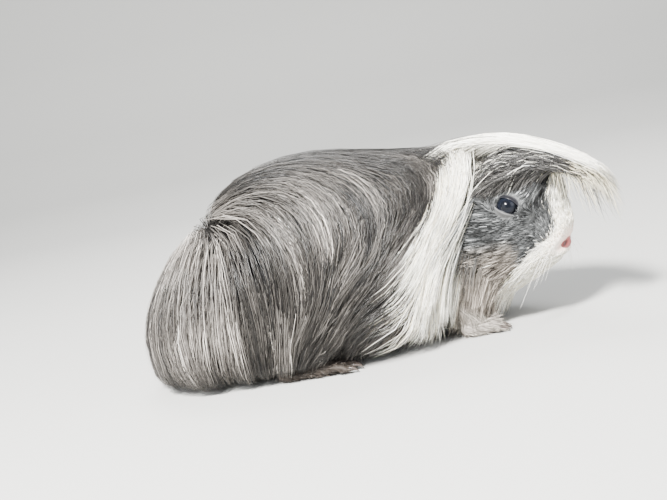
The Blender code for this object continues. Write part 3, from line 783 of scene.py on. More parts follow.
def scatter(points, faces, count, keep):  # random roots on a mesh, as many as keep allows at each place
    tris = []
    for face in faces:
        for k in range(1, len(face) - 1):
            tris.append((face[0], face[k], face[k + 1]))
    tris = np.array(tris)
    a, b, c = (points[tris[:, i]] for i in range(3))
    area = np.linalg.norm(np.cross(b - a, c - a), axis=1) / 2
    area = area * keep((a + b + c) / 3)
    pick = rng.choice(len(tris), count, p=area / area.sum())
    u, v = rng.random(count), rng.random(count)
    flip = u + v > 1
    u[flip], v[flip] = 1 - u[flip], 1 - v[flip]
    return a[pick] + (b - a)[pick] * u[:, None] + (c - a)[pick] * v[:, None]


# Grey hair is of three tones, each with its running share of the hairs, its darkest and its palest.
hairTones = {"grey": ((0.32, 0.28, 0.6), (0.82, 0.55, 1.35), (1.0, 1.5, 3.0)), "lockSpread": (0.58, 0.38),
             "creamy": 0.15}


def toneValues(count, tones):
    kind = rng.random(count)
    value = np.empty(count)
    low = 0.0
    for share, darkest, palest in tones:
        chosen = (kind >= low) & (kind < share)
        value[chosen] = rng.uniform(darkest, palest, chosen.sum())
        low = share
    return value


def hairColours(roots, owners=(), spread=1.0):  # a colour for each strand from the markings
    count = len(roots)
    white = whiteAt(roots + rng.normal(0, 1.0, roots.shape))
    isWhite = rng.random(count) < white
    grey = greyAt(roots)
    value = 1 + (toneValues(count, hairTones["grey"]) - 1) * spread
    for owner, size in zip(owners, hairTones["lockSpread"]):
        value = value * rng.lognormal(0, size, count)[owner]
    colour = grey * value[:, None]
    pale = np.array(markings["white"]) * rng.uniform(0.86, 1.05, count)[:, None]
    creamy = rng.random(count) < hairTones["creamy"]
    pale[creamy] = np.array(markings["cream"]) * rng.uniform(0.88, 1.05, creamy.sum())[:, None]
    colour[isWhite] = pale[isWhite]
    return np.clip(colour, 0.01, 0.95)


def newMaterial(name):
    made = bpy.data.materials.new(name)
    made.use_nodes = True
    return made, made.node_tree.nodes, made.node_tree.links


def node(nodes, kind, **values):
    made = nodes.new(kind)
    for key, value in values.items():
        if key in made.inputs:
            made.inputs[key].default_value = value
        else:
            setattr(made, key, value)
    return made


def speckleGroup():  # fine light and dark flecks over a colour
    group = bpy.data.node_groups.new("fleckedColour", "ShaderNodeTree")
    for name, kind in (("Colour", "NodeSocketColor"), ("Scale", "NodeSocketFloat"),
                       ("Amount", "NodeSocketFloat")):
        group.interface.new_socket(name, in_out="INPUT", socket_type=kind)
    group.interface.new_socket("Colour", in_out="OUTPUT", socket_type="NodeSocketColor")
    group.interface.new_socket("Height", in_out="OUTPUT", socket_type="NodeSocketFloat")
    nodes, links = group.nodes, group.links
    inside, outside = nodes.new("NodeGroupInput"), nodes.new("NodeGroupOutput")
    place = nodes.new("ShaderNodeTexCoord")
    noise = node(nodes, "ShaderNodeTexNoise", Detail=4.0, Roughness=0.6)
    links.new(place.outputs["Object"], noise.inputs["Vector"])
    links.new(inside.outputs["Scale"], noise.inputs["Scale"])
    centre = node(nodes, "ShaderNodeMath", operation="SUBTRACT")
    centre.inputs[1].default_value = 0.5
    links.new(noise.outputs["Fac"], centre.inputs[0])
    scaled = node(nodes, "ShaderNodeMath", operation="MULTIPLY")
    links.new(centre.outputs[0], scaled.inputs[0])
    links.new(inside.outputs["Amount"], scaled.inputs[1])
    gain = node(nodes, "ShaderNodeMath", operation="ADD")
    gain.inputs[1].default_value = 1.0
    links.new(scaled.outputs[0], gain.inputs[0])
    tinted = node(nodes, "ShaderNodeVectorMath", operation="SCALE")
    links.new(inside.outputs["Colour"], tinted.inputs[0])
    links.new(gain.outputs[0], tinted.inputs["Scale"])
    links.new(tinted.outputs[0], outside.inputs["Colour"])
    links.new(noise.outputs["Fac"], outside.inputs["Height"])
    return group


fleckedColour = speckleGroup()


def fleckedMaterial(name, colour=None, attribute=None, scale=600.0, amount=0.5, roughness=0.5,
                    bump=0.0, bumpDistance=0.0003, specular=0.5, subsurface=0.0):
    made, nodes, links = newMaterial(name)
    shader = nodes["Principled BSDF"]
    shader.inputs["Roughness"].default_value = roughness
    shader.inputs["Specular IOR Level"].default_value = specular
    shader.inputs["Subsurface Weight"].default_value = subsurface
    shader.inputs["Subsurface Radius"].default_value = (0.004, 0.002, 0.001)
    flecks = node(nodes, "ShaderNodeGroup")
    flecks.node_tree = fleckedColour
    flecks.inputs["Scale"].default_value = scale
    flecks.inputs["Amount"].default_value = amount
    if attribute:
        tint = node(nodes, "ShaderNodeAttribute", attribute_name=attribute)
        links.new(tint.outputs["Color"], flecks.inputs["Colour"])
    else:
        flecks.inputs["Colour"].default_value = (*colour, 1)
    links.new(flecks.outputs["Colour"], shader.inputs["Base Color"])
    if bump:
        relief = node(nodes, "ShaderNodeBump", Strength=bump, Distance=bumpDistance)
        links.new(flecks.outputs["Height"], relief.inputs["Height"])
        links.new(relief.outputs["Normal"], shader.inputs["Normal"])
    return made


coatMaterial = fleckedMaterial("longCoat", attribute="coatTint", scale=420.0, amount=0.3,
                               roughness=0.33, specular=0.26)
skinMaterial = fleckedMaterial("furrySkin", attribute="coatTint", scale=900.0, amount=0.9,
                               roughness=0.7, bump=0.5, specular=0.2)
clawMaterial = fleckedMaterial("clawHorn", colour=(0.045, 0.035, 0.03), scale=300.0, amount=0.6,
                               roughness=0.35, bump=0.15)
noseMaterial = fleckedMaterial("nosePad", attribute="coatTint", scale=1500.0, amount=0.35,
                               roughness=0.42, bump=0.35, bumpDistance=0.0002, subsurface=0.2)
lidMaterial = fleckedMaterial("eyelid", attribute="coatTint", scale=1200.0, amount=0.4,
                              roughness=0.4, bump=0.3, bumpDistance=0.0002)
whiskerMaterial = fleckedMaterial("whisker", colour=(0.72, 0.70, 0.66), scale=80.0, amount=0.2,
                                  roughness=0.35)


eyeball = {"roughness": 0.14, "specular": 0.16, "dark": (0.002, 0.0025, 0.004)}


def eyeMaterial():
    made, nodes, links = newMaterial("eyeball")
    shader = nodes["Principled BSDF"]
    shader.inputs["Roughness"].default_value = eyeball["roughness"]
    shader.inputs["Specular IOR Level"].default_value = eyeball["specular"]
    tint = node(nodes, "ShaderNodeAttribute", attribute_name="coatTint")
    links.new(tint.outputs["Color"], shader.inputs["Base Color"])
    return made


def setTint(thing, colours):
    tint = np.ones((len(colours), 4), np.float32)
    tint[:, :3] = colours
    layer = thing.data.color_attributes.new("coatTint", "FLOAT_COLOR", "POINT")
    layer.data.foreach_set("color", tint.ravel())


nose = {"centre": (108.6, 0.0, 42.6), "size": (4.0, 7.6, 4.4), "pink": (0.31, 0.062, 0.056),
        "paintedNostrilShade": (0.05, 0.004, 0.004), "top": (0.58, 0.29, 0.25), "flush": (0.80, 0.54, 0.47)}


skinShade = {"grey": 0.8, "white": 0.85, "paintedShadeUnderLongHair": 0.35, "foreFoot": (0.20, 0.18, 0.16),
             "ear": (0.16, 0.13, 0.12)}


def colourSkin():
    white = whiteAt(skinPoints)[:, None]
    colour = greyAt(skinPoints) * skinShade["grey"] * (1 - white)
    colour += np.array(markings["white"]) * skinShade["white"] * white
    # painted shade: the skin is darker where the long coat lies over it
    shadedUnderLongHair = (1 - fade(skinPoints[:, 0], 52, 66)) * fade(skinPoints[:, 2], 12, 16)
    colour *= (1 - (1 - skinShade["paintedShadeUnderLongHair"]) * shadedUnderLongHair)[:, None]
    x, y, z = skinPoints.T
    flush = 1 - fade(np.linalg.norm((skinPoints - nose["centre"]) / (1, 1.6, 1.2), axis=1), 4, 10)
    colour += (np.array(nose["flush"]) - colour) * (0.75 * flush * fade(z, 36, 41))[:, None]
    foreFoot = fade(x, 32, 36) * fade(np.abs(y), 17, 20) * (1 - fade(z, 20, 26)) * (1 - fade(x, 66, 70))
    colour += (np.array(skinShade["foreFoot"]) - colour) * foreFoot[:, None]
    middle = np.array(ear["root"]) + unit(np.array(ear["out"])) * ear["length"] * 0.55
    away = np.linalg.norm(skinPoints * (1, 0, 1) + np.abs(skinPoints) * (0, 1, 0) - middle, axis=1)
    isEar = (1 - fade(away, 11, 14)) * fade(np.abs(skinPoints[:, 1]), 33, 36)
    colour += (np.array(skinShade["ear"]) - colour) * isEar[:, None]
    setTint(skin, np.clip(colour, 0, 1))
    skin.data.materials.clear()
    skin.data.materials.append(skinMaterial)


print("skin colours")
colourSkin()
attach(skin, "root")
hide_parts("rump", "flank", "shoulder", "neck", "throat", "head", "jaw",
            "ear_left", "ear_right", "foreleg_left", "foreleg_right", "hindleg_left", "hindleg_right")
claws.data.materials.append(clawMaterial)
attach(claws, "root")


lid = {"halfLength": 7.6, "upper": 3.9, "lower": 3.5, "tilt": -27.0, "corner": 1.25, "thick": 0.7,
       "outer": 9.0, "outerDepth": 0.6, "line": (0.006, 0.006, 0.008), "rim": (0.20, 0.20, 0.205),
       "fur": (0.06, 0.06, 0.06)}


def eyeFrame(sign):
    centre = np.array(eyeSpot["centre"]) * (1, sign, 1)
    axis = unit(np.array(eyeSpot["axis"]) * (1, sign, 1))
    forward = np.array((1.0, 0, 0))
    forward = unit(forward - forward.dot(axis) * axis)
    up = np.cross(axis, forward) * (-sign)
    if up[2] < 0:
        up = -up
    turn = math.radians(lid["tilt"])
    long = forward * math.cos(turn) + up * math.sin(turn)
    tall = up * math.cos(turn) - forward * math.sin(turn)
    return centre, axis, long, tall


def makeEye(sign, name, nodeName):  # nearly black, with a faint dark iris round the pupil
    centre, axis, long, tall = eyeFrame(sign)
    rows, around = 40, 48
    points = []
    for i in range(rows + 1):
        polar = math.pi * i / rows
        bulge = 0.3 * math.exp(-(polar / 0.75) ** 2)
        for j in range(around):
            a = 2 * math.pi * j / around
            way = axis * math.cos(polar) + math.sin(polar) * (long * math.cos(a) + tall * math.sin(a))
            points.append(centre + way * (eyeSpot["radius"] + bulge))
    made = makeObject(name, points, ballFaces(rows, around))
    faceOutward(made, weld=True)
    made.data.shade_smooth()
    spots = pointsOf(made)
    polar = np.arccos(np.clip(unit(spots - centre) @ axis, -1, 1))
    ring = fade(polar, 0.42, 0.52) * (1 - fade(polar, 0.72, 0.90))
    setTint(made, np.array(eyeball["dark"]) * (1 + ring[:, None]))
    setPoints(made, turned(spots))
    made.data.materials.append(eyeballMaterial)
    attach(made, "root")
    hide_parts(nodeName)


def lidRing(sign):  # from the almond opening down to the skin, black at its edge and pale under the eye
    centre, axis, long, tall = eyeFrame(sign)
    around, rows = 96, 12
    points, faces, colours = [], [], []
    line, rim, fur = (np.array(lid[name]) for name in ("line", "rim", "fur"))
    over = eyeSpot["radius"] + 0.35
    for j in range(around):
        a = 2 * math.pi * j / around
        c, s = math.cos(a), math.sin(a)
        height = lid["upper"] if s > 0 else lid["lower"]
        offset = long * lid["halfLength"] * c + tall * height * math.copysign(abs(s) ** lid["corner"], s)
        inner = np.linalg.norm(offset)
        outward = offset / inner
        # the black rim is wider at the corners, and wider above, where it is partly painted shade under the
        # upper lid
        dark = (1.7 if s > 0 else 0.45) + 1.9 * abs(c) ** 4
        for side in (1, -1):
            for k in range(rows) if side > 0 else range(rows - 1, -1, -1):
                t = k / (rows - 1)
                radial = inner + (lid["outer"] - inner) * t ** 1.3
                ball = math.sqrt(max(over ** 2 - radial ** 2, 0))
                slope = 2.6 - 2.6 * float(fade(radial, 4.5, lid["outer"])) + lid["outerDepth"]
                depth = max(ball, slope) + (0.12 * math.exp(-t * 14) if side > 0 else -lid["thick"])
                points.append(centre + outward * (radial + (0 if side > 0 else 0.1)) + axis * depth)
                reach = radial - inner
                pale = float(fade(reach, dark - 0.2, dark + 0.25))
                colour = line + (rim - line) * pale * (1 if s < 0.1 else 0.12)
                colours.append(colour + (fur - colour) * float(fade(reach, dark + 0.25, dark + 0.7)))
    section = rows * 2
    for j in range(around):
        n = (j + 1) % around
        for k in range(section):
            m = (k + 1) % section
            faces.append((j * section + k, j * section + m, n * section + m, n * section + k))
    return points, faces, colours


def makeLids():
    parts = [lidRing(1), lidRing(-1)]
    points, faces = joinParts([part[:2] for part in parts])
    made = makeObject("eyelids", turned(np.array(points)), faces)
    setTint(made, np.array(parts[0][2] + parts[1][2]))
    made.data.materials.append(lidMaterial)
    faceOutward(made)
    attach(made, "root")


def makeNose():  # a small pad with two comma shaped nostrils and a cleft
    rows, around = 60, 72
    points, colours = [], []
    pink, dark, top = (np.array(nose[name]) for name in ("pink", "paintedNostrilShade", "top"))
    for i in range(rows + 1):
        polar = math.pi * i / rows
        for j in range(around):
            a = 2 * math.pi * j / around
            way = np.array((math.cos(polar), math.sin(polar) * math.cos(a), math.sin(polar) * math.sin(a)))
            y, z = way[1] * nose["size"][1], way[2] * nose["size"][2]
            side = abs(y)
            slit = math.exp(-((side - 4.8 + 0.5 * z) / 1.7) ** 2 - ((z + 0.2) / 1.5) ** 2)
            cleft = math.exp(-(side / 0.35) ** 2) * (1 - float(fade(z, -0.4, 1.4)))
            wing = 0.4 * math.exp(-((side - 5.8) / 0.8) ** 2 - ((z - 0.3) / 1.5) ** 2)
            sink = (0.9 * slit + 0.5 * cleft - wing) * max(way[0], 0)
            points.append(np.array(nose["centre"]) + way * np.array(nose["size"]) - np.array((sink, 0, 0)))
            base = pink + (top - pink) * float(fade(z, 0.8, 3.2))
            # the nostril slits and the cleft are painted dark red, as painted shade inside the openings
            colours.append(base + (dark - base) * min(1.0, 1.7 * slit + 0.6 * cleft))
    made = makeObject("nosePad", turned(np.array(points)), ballFaces(rows, around))
    setTint(made, np.array(colours))
    made.data.materials.append(noseMaterial)
    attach(made, "root")
    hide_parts("nose")


whisker = {"each": 14, "length": (18, 34), "lowest": 0.6, "droop": (5, 11), "radius": 0.08, "tip": 0.025}


def makeWhiskers():
    parts = []
    for sign in (1, -1):
        for k in range(whisker["each"]):
            row, column = k % 4, k // 4
            root = np.array((102.5 + 1.6 * column + rng.normal(0, 0.3), 0.0, 45.5 - 2.2 * row))
            half = smoothCurve(skinStations, root[:1])[3][0]
            root[1] = sign * (half * math.sqrt(max(0.05, 1 - ((root[2] - 49) / 15) ** 2)) + 0.4)
            length = rng.uniform(*whisker["length"]) * (whisker["lowest"] if row == 3 else 1)
            ahead, rise = 0.10 - 0.4 * rng.random(), 0.12 - 0.30 * row + rng.normal(0, 0.08)
            way = unit(np.array((ahead, sign * 0.9, rise)))
            droop = rng.uniform(*whisker["droop"])
            stations = []
            for i in range(11):
                s = i / 10
                spot = root + way * length * s - np.array((droop * 0.6 * s * s, 0, droop * s * s))
                stations.append((spot, whisker["radius"] * (1 - s) ** 0.8 + whisker["tip"]))
            parts.append(tubeThrough(stations, 5))
    points, faces = joinParts(parts)
    made = makeObject("whiskers", turned(np.array(points)), faces)
    made.data.materials.append(whiskerMaterial)
    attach(made, "root")


print("eyes, nose, whiskers")
eyeballMaterial = eyeMaterial()
makeEye(1, "eyeballLeft", "eye_left")
makeEye(-1, "eyeballRight", "eye_right")
makeLids()
makeNose()
makeWhiskers()


bodyPoints, bodyFaces = np.array(bodyPart[0]), bodyPart[1]
longCoat = {  # lowest x, highest x, top and under tufts on each side, shortest and longest, rings
    "Rump": (-125, -74, 3350, 950, 78, 112, 6),
    "Flank": (-74, -14, 3200, 900, 68, 104, 6),
    "Shoulder": (-14, 33, 2800, 700, 56, 88, 5),
    "Neck": (33, 84, 2900, 700, 45, 80, 5),
}
topCoat = {"width": 0.37, "thick": 0.3, "drop": 0.32, "strays": 0.045, "strayLift": (1.0, 1.09),
           "locks": ((40, (0.3, 0.75)), (8, (0.1, 0.6))), "wave": (0.1, 1.1), "steps": 28, "sway": 0.09}
# the under coat's shade values are painted shade for the gaps between the locks
underCoat = {"rings": 4, "width": 1.0, "thick": 0.3, "lift": (0.22, 0.62), "shade": 0.24, "paintedShadeUnderWhite": 0.72,
             "locks": ((12, (0.2, 0.6)),)}


def underCoatPaintedShade(roots):  # painted shade between the locks: the under coat is painted dark under grey hair, and nearly white under white
    white = whiteAt(roots)[:, None]
    return underCoat["shade"] * (1 - white) + underCoat["paintedShadeUnderWhite"] * white


def growCoat(keep, sign, count, lengths, lift, rings, locks):
    roots = scatter(bodyPoints, bodyFaces, count, keep)
    lowFlank = fade(roots[:, 0], -52, -30) * (1 - fade(roots[:, 0], 22, 36)) * (1 - fade(roots[:, 2], 36, 58))
    lengths = rng.uniform(*lengths, count) * (0.70 + 0.30 * fade(roots[:, 2], 20, 70)) * (1 - 0.35 * lowFlank)
    sway = rng.normal(0, topCoat["sway"], count)
    path, normals = growStrands(roots, lengths, lift, riseReach(roots), topCoat["steps"], sign, sway)
    levels = hem["low"] + hem["spread"] * rng.random(count) ** 2
    tip = sideView(path[:, -1])[0]
    wisp = whiteAt(roots) * fade(tip, 2, 10) * (1 - fade(tip, 29, 35))
    levels += hem["wisp"] * wisp * rng.uniform(0.5, 1.2, count)
    path, normals = cutAtHem(path, normals, levels, rings)
    owners = []
    for perLock, pull in locks:
        path, owner = gatherLocks(path, perLock, pull)
        owners.append(owner)
    t = np.linspace(0, 1, path.shape[1])
    across = unit(np.cross(unit(np.gradient(path, axis=1)), normals))
    wave = np.sin(t[None] * rng.uniform(4, 9, count)[:, None] + rng.uniform(0, 6.28, count)[:, None])
    path = path + across * (wave * t[None] * rng.uniform(*topCoat["wave"], count)[:, None])[:, :, None]
    path[:, :, 2] = np.maximum(path[:, :, 2], 0.6)
    return path, normals, owners


shag = {"tufts": 1400, "lengths": (16, 34), "lift": (0.7, 1.02), "sway": 0.42, "x": (-50, 34), "z": (14, 54),
        "width": 0.42, "lock": (10, (0.2, 0.8)), "reach": 9.0, "steps": 16, "rings": 5}


def makeShag():  # shorter uneven hair low on the sides
    for sign, word in ((-1, "Right"), (1, "Left")):
        def keep(p):
            inside = (p[:, 0] > shag["x"][0]) & (p[:, 0] < shag["x"][1]) & (p[:, 1] * sign > 0)
            return inside * (p[:, 2] > shag["z"][0]) * (1 - fade(p[:, 2], 36, shag["z"][1]))
        count = shag["tufts"]
        roots = scatter(bodyPoints, bodyFaces, count, keep)
        sway = rng.normal(0, shag["sway"], count)
        lengths = rng.uniform(*shag["lengths"], count)
        lift = rng.uniform(*shag["lift"], count)
        path, normals = growStrands(roots, lengths, lift, np.full(count, shag["reach"]), shag["steps"],
                                    sign, sway)
        levels = hem["low"] + hem["spread"] * rng.random(count) ** 2
        path, normals = cutAtHem(path, normals, levels, shag["rings"])
        path, owner = gatherLocks(path, *shag["lock"])
        width = shag["width"] * rng.uniform(0.6, 1.3, count)
        made = tufts("coatShag" + word, path, normals, width, width * topCoat["thick"],
                     hairColours(path[:, 0], [owner]), twist=0.3, paintedLight=paintedLightAt(path))


def makeLongCoat():
    for name, (low, high, count, under, shortest, longest, rings) in longCoat.items():
        for sign, word in ((-1, "Right"), (1, "Left")):
            def keep(p):
                inside = (p[:, 0] > low) & (p[:, 0] < high) & (p[:, 1] * sign > 0)
                bandOnly = (whiteAt(p) > 0.3) & (p[:, 2] > 34) & ((p[:, 0] < 63) | (p[:, 2] < 82))
                inside &= (p[:, 0] < 56) | bandOnly
                underside = 0.25 + 0.75 * fade(p[:, 2], 14, 24)
                crown = 1 + 1.0 * fade(p[:, 2], 66, 92)
                return inside * underside * crown
            lift = rng.uniform(*underCoat["lift"], under)
            path, normals, owners = growCoat(keep, sign, under, (shortest, longest), lift, underCoat["rings"],
                                             underCoat["locks"])
            width = underCoat["width"] * rng.uniform(0.6, 1.3, under)
            made = tufts("underCoat" + name + word, path, normals, width, width * underCoat["thick"],
                         hairColours(path[:, 0], owners) * underCoatPaintedShade(path[:, 0]), paintedLight=paintedLightAt(path))
            lift = 1 - topCoat["drop"] * rng.random(count) ** 2
            stray = rng.random(count) < topCoat["strays"]
            lift[stray] = rng.uniform(*topCoat["strayLift"], stray.sum())
            path, normals, owners = growCoat(keep, sign, count, (shortest, longest), lift, rings,
                                             topCoat["locks"])
            width = topCoat["width"] * rng.uniform(0.6, 1.3, count)
            made = tufts("coat" + name + word, path, normals, width, width * topCoat["thick"],
                         hairColours(path[:, 0], owners), twist=0.25, paintedLight=paintedLightAt(path))


print("long coat")
makeLongCoat()
makeShag()


forelockShape = [  # x, top, bottom, half width, thickness
    (24, 108.0, 94, 40.0, 14),
    (38, 106.4, 92, 38.5, 14),
    (52, 107.8, 88, 36.0, 13),
    (72, 108.4, 86, 31.5, 11),
    (90, 105.6, 87, 27.5, 9),
    (106, 99.7, 88.5, 22.5, 6),
    (114, 96.2, 87, 20.0, 5),
    (121.5, 92.4, 84, 17.5, 4.2),
    (130, 87.3, 78.5, 14.3, 4),
    (136.5, 82.8, 73, 11.0, 3.5),
    (141.5, 77.4, 67.7, 7.5, 3),
    (145, 71.5, 65.5, 4.0, 3),
]
forelockTufts = {  # count, degrees from the top, where they start and end, depth, droop, width
    "top": (1080, (0, 34), (22, 82), (112, 146.5), (0.0, 0.35), 2.0, 0.38),
    "gap": (230, (30, 41), (74, 104), (112, 130), (0.2, 0.7), 1.0, 0.5),
    "wedge": (2150, (38, 104), (62, 103), (98, 143), (0.0, 0.7), 3.0, 0.31),
    "underside": (680, (0, 106), (94, 110), (114, 136), (0.9, 1.4), 6.0, 0.34),
    "fringe": (800, (0, 106), (106, 134), (122, 147), (0.3, 1.3), 26.0, 0.27),
}
forelock = {"rings": 7, "lock": (12, (0.1, 0.6)), "thick": 0.35, "sink": 9.0, "temple": (72, 88),
            "wedgeRootPaintedLight": 2.4, "wedgeLength": (28, 54), "frizz": (0.2, 1.4), "gapPaintedShade": 0.3,
            "lockSpread": 0.25,
            "tones": ((0.42, 0.15, 0.5), (0.86, 0.5, 1.2), (1.0, 1.6, 3.4)), "whiteAtWedge": 0.16,
            "white": {"top": 0.985, "gap": 0.0, "wedge": 0.03, "underside": 0.93, "fringe": 0.62}}


def templeRoots(x, count):  # places on the sides of the head above the eyes
    top, middle, _, half, above, _ = smoothCurve(skinStations, x)
    z = rng.uniform(*forelock["temple"], count)
    rise = np.clip((z - middle) / (top - middle), 0, 0.97)
    return half * (1 - rise ** above) ** (1 / above), middle + rise * (top - middle)


def forelockGroup(name, count, angles, starts, ends, depths, droop):
    t = np.linspace(0, 1, forelock["rings"] + 1)
    start = rng.uniform(*starts, count)
    angle = rng.uniform(*angles, count)
    if name == "top":
        angle *= 0.75 + 0.25 * fade(start, 50, 80)
    angle = np.radians(angle) * rng.choice([-1, 1], count)
    end = ends[1] - (ends[1] - ends[0]) * rng.random(count) ** 1.7
    if name == "wedge":
        end = np.minimum(start + rng.uniform(*forelock["wedgeLength"], count), end)
    depth = rng.uniform(*depths, count)
    end -= 10 * np.abs(np.sin(angle)) ** 3
    x = start[:, None] + (end - start)[:, None] * t[None]
    top, bottom, half, shell = (c.reshape(x.shape) for c in smoothCurve(forelockShape, x.ravel()))
    sunk = forelock["sink"] * (1 - fade(t, 0, 0.28))[None]
    inward = depth[:, None] * shell + sunk
    swung = angle[:, None] + rng.normal(0, 0.05, count)[:, None] * t
    y = (half - inward) * np.sin(swung)
    rise = np.cos(swung)
    z = bottom + (top - bottom - inward) * np.where(rise > 0, rise, 0.5 * rise)
    z -= fade(t, 0.5, 1.0)[None] ** 1.5 * (droop * rng.random(count) ** 1.5)[:, None]
    y += rng.normal(0, 1.3, count)[:, None] * t[None] ** 2
    frizz = rng.uniform(*forelock["frizz"], count) * (0.25 if name == "top" else 1.0)
    waves = np.sin(t[None] * rng.uniform(3, 8, count)[:, None] + rng.uniform(0, 6.28, count)[:, None])
    z += waves * t[None] * frizz[:, None]
    if name == "wedge":
        sideways, high = templeRoots(start, count)
        free = fade(t, -0.15, 0.75)[None]
        y = y * free + (sideways * np.sign(angle))[:, None] * (1 - free)
        z = z * free + high[:, None] * (1 - free)
    path = np.stack([x, y, z], axis=-1)
    normals = unit(np.stack([0.25 * fade(x, 100, 140), np.sin(swung), np.maximum(rise, -0.2)], axis=-1))
    return path, normals, start


def makeForelock():
    sheets = []
    for name, values in forelockTufts.items():
        path, normals, start = forelockGroup(name, *values[:-1])
        count = values[0]
        path, owner = gatherLocks(path, *forelock["lock"])
        pale = np.array(markings["white"])[None] * rng.uniform(0.86, 1.05, count)[:, None]
        grey = np.array(markings["forelockGrey"])[None] * toneValues(count, forelock["tones"])[:, None]
        grey *= rng.lognormal(0, forelock["lockSpread"], count)[owner][:, None]
        # painted shade: the strands in the gap under the white top are darkened
        if name == "gap":
            grey *= forelock["gapPaintedShade"]
        whiteShare = np.full(count, forelock["white"][name])
        if name == "wedge":
            whiteShare += forelock["whiteAtWedge"] * (1 - fade(start, 62, 68))
        isWhite = rng.random(count) < whiteShare
        if name in ("underside", "fringe"):
            pale = np.array(markings["cream"])[None] * rng.uniform(0.86, 1.06, count)[:, None]
        colours = np.where(isWhite[:, None], pale, grey)
        width = values[-1] * rng.uniform(0.6, 1.3, count)
        paintedLight = np.ones(path.shape[:2])
        # painted light at the wedge's roots, lifting the painted root shade and the shade under the forelock
        # over the temple
        if name == "wedge":
            paintedLight += forelock["wedgeRootPaintedLight"] * (1 - fade(np.linspace(0, 1, path.shape[1]), 0, 0.5))
        sheets.append((path, normals, width, colours, paintedLight))
    path, normals, width, colours, paintedLight = (np.concatenate(part) for part in zip(*sheets))
    colours = np.clip(colours, 0.01, 0.95)
    made = tufts("coatForelock", path, normals, width, width * forelock["thick"], colours, paintedLight=paintedLight)
    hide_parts("forelock")


print("forelock")
makeForelock()


faceFur = {"tufts": 6500, "width": 0.30, "thick": 0.45, "rings": 3, "lock": (6, (0.0, 0.5)),
           "rootPaintedShade": 0.62}


def faceFlow(points, side):  # back from the nose, and up into the forelock above the eyes
    x, y, z = points.T
    brow = fade(z, 64, 74) * fade(x, 74, 84)
    jaw = 1 - fade(z, 24, 42)
    front = fade(x, 94, 111) * fade(z, 37, 50)
    back = -0.9 + 2.0 * brow + 0.75 * front * (1 - brow) - 0.5 * jaw
    rise = 0.06 + 0.85 * front + 0.75 * brow - 0.55 * jaw
    out = side * 0.3 * (1 - fade(np.abs(y), 6, 18)) * (1 - brow)
    flow = unit(np.stack([back, out, rise], axis=1))
    away = points * np.stack([np.ones(len(x)), side, np.ones(len(x))], axis=1) - np.array(eyeSpot["centre"])
    near = np.exp(-(np.linalg.norm(away, axis=1) / 9.5) ** 2)[:, None]
    around = unit(away)
    around[:, 1] *= side
    return flow * (1 - near * 0.6) + around * near * 0.6


def shortTufts(roots, lengths, lift, rings, side):
    points = roots.copy()
    step = lengths / rings
    path, normals = [points.copy()], []
    for k in range(rings + 1):
        normal = unit(sampleField(bodyField, points)[:, 2:5])
        normals.append(normal)
        if k == rings:
            break
        flow = faceFlow(points, side)
        flow = unit(flow - (flow * normal).sum(axis=1, keepdims=True) * normal)
        rise = 0.45 * lift * (1 - k / rings) + 0.05
        points = points + unit(flow + normal * rise[:, None]) * step[:, None]
        path.append(points.copy())
    return np.stack(path, axis=1), np.stack(normals, axis=1)


def makeFaceFur():
    headFaces = [f for f in skinFaces if skinPoints[f[0], 0] > 56 and skinPoints[f[0], 2] > 12]
    centre, muzzle = np.array(eyeSpot["centre"]), np.array(nose["centre"])
    for sign, word in ((-1, "Right"), (1, "Left")):
        def keep(p):
            inside = (p[:, 1] * sign > 0) & (p[:, 0] > 57)
            eyeAway = p * (1, sign, 1) - centre
            eyeAway = np.linalg.norm(eyeAway, axis=1)
            inside &= eyeAway > 6.8
            inside &= np.linalg.norm((p - muzzle) / (1, 1.6, 1.05), axis=1) > 4.4
            inside &= ~((np.abs(p[:, 1]) > 33) & (p[:, 2] > 66))
            return inside * (1 + 1.2 * fade(p[:, 0], 86, 104) + 2.2 * (1 - fade(eyeAway, 9, 16)))
        count = faceFur["tufts"]
        roots = scatter(skinPoints, headFaces, count, keep)
        x, z = roots[:, 0], roots[:, 2]
        temple = fade(z, 70, 82) * (1 - fade(x, 96, 106))
        low = (1 - fade(z, 24, 36)) * (1 - fade(x, 92, 106))
        brow = fade(x, 94, 103) * fade(z, 56, 72)
        nearNose = 1 - fade(np.linalg.norm((roots - muzzle) / (1, 1.6, 1), axis=1), 5, 13)
        nearEye = 1 - fade(np.linalg.norm(roots * (1, sign, 1) - centre, axis=1), 7, 13)
        base = 3.2 + 4.5 * (1 - fade(x, 72, 100)) + 1.8 * low + 3.2 * temple + 6.5 * brow
        base *= (1 - 0.62 * nearNose) * (1 - 0.45 * nearEye)
        lengths = base * rng.uniform(0.75, 1.3, count)
        lift = (rng.uniform(0.45, 1.3, count) * (1 + 0.6 * temple + 1.1 * brow) * (1 - 0.5 * nearNose)
                * (1 - 0.6 * low))
        path, normals = shortTufts(roots, lengths, lift, faceFur["rings"], np.full(count, float(sign)))
        path, owner = gatherLocks(path, *faceFur["lock"])
        colours = hairColours(roots, [owner])
        colours += (np.array(nose["flush"]) - colours) * (0.85 * nearNose * fade(z, 37, 42))[:, None]
        width = faceFur["width"] * rng.uniform(0.7, 1.3, count) * (1 + 0.4 * (1 - fade(x, 66, 90)))
        made = tufts("coatFace" + word, path, normals, width, width * faceFur["thick"], colours,
                     rootPaintedShade=faceFur["rootPaintedShade"], share=footShare)


print("short fur")
makeFaceFur()


throat = {"tufts": 2900, "width": 0.34, "thick": 0.4, "length": (13, 31), "steps": 12, "rings": 5,
          "high": (42, 56), "sway": 0.34, "lock": (14, (0.1, 0.6)), "toneSpread": 0.5}


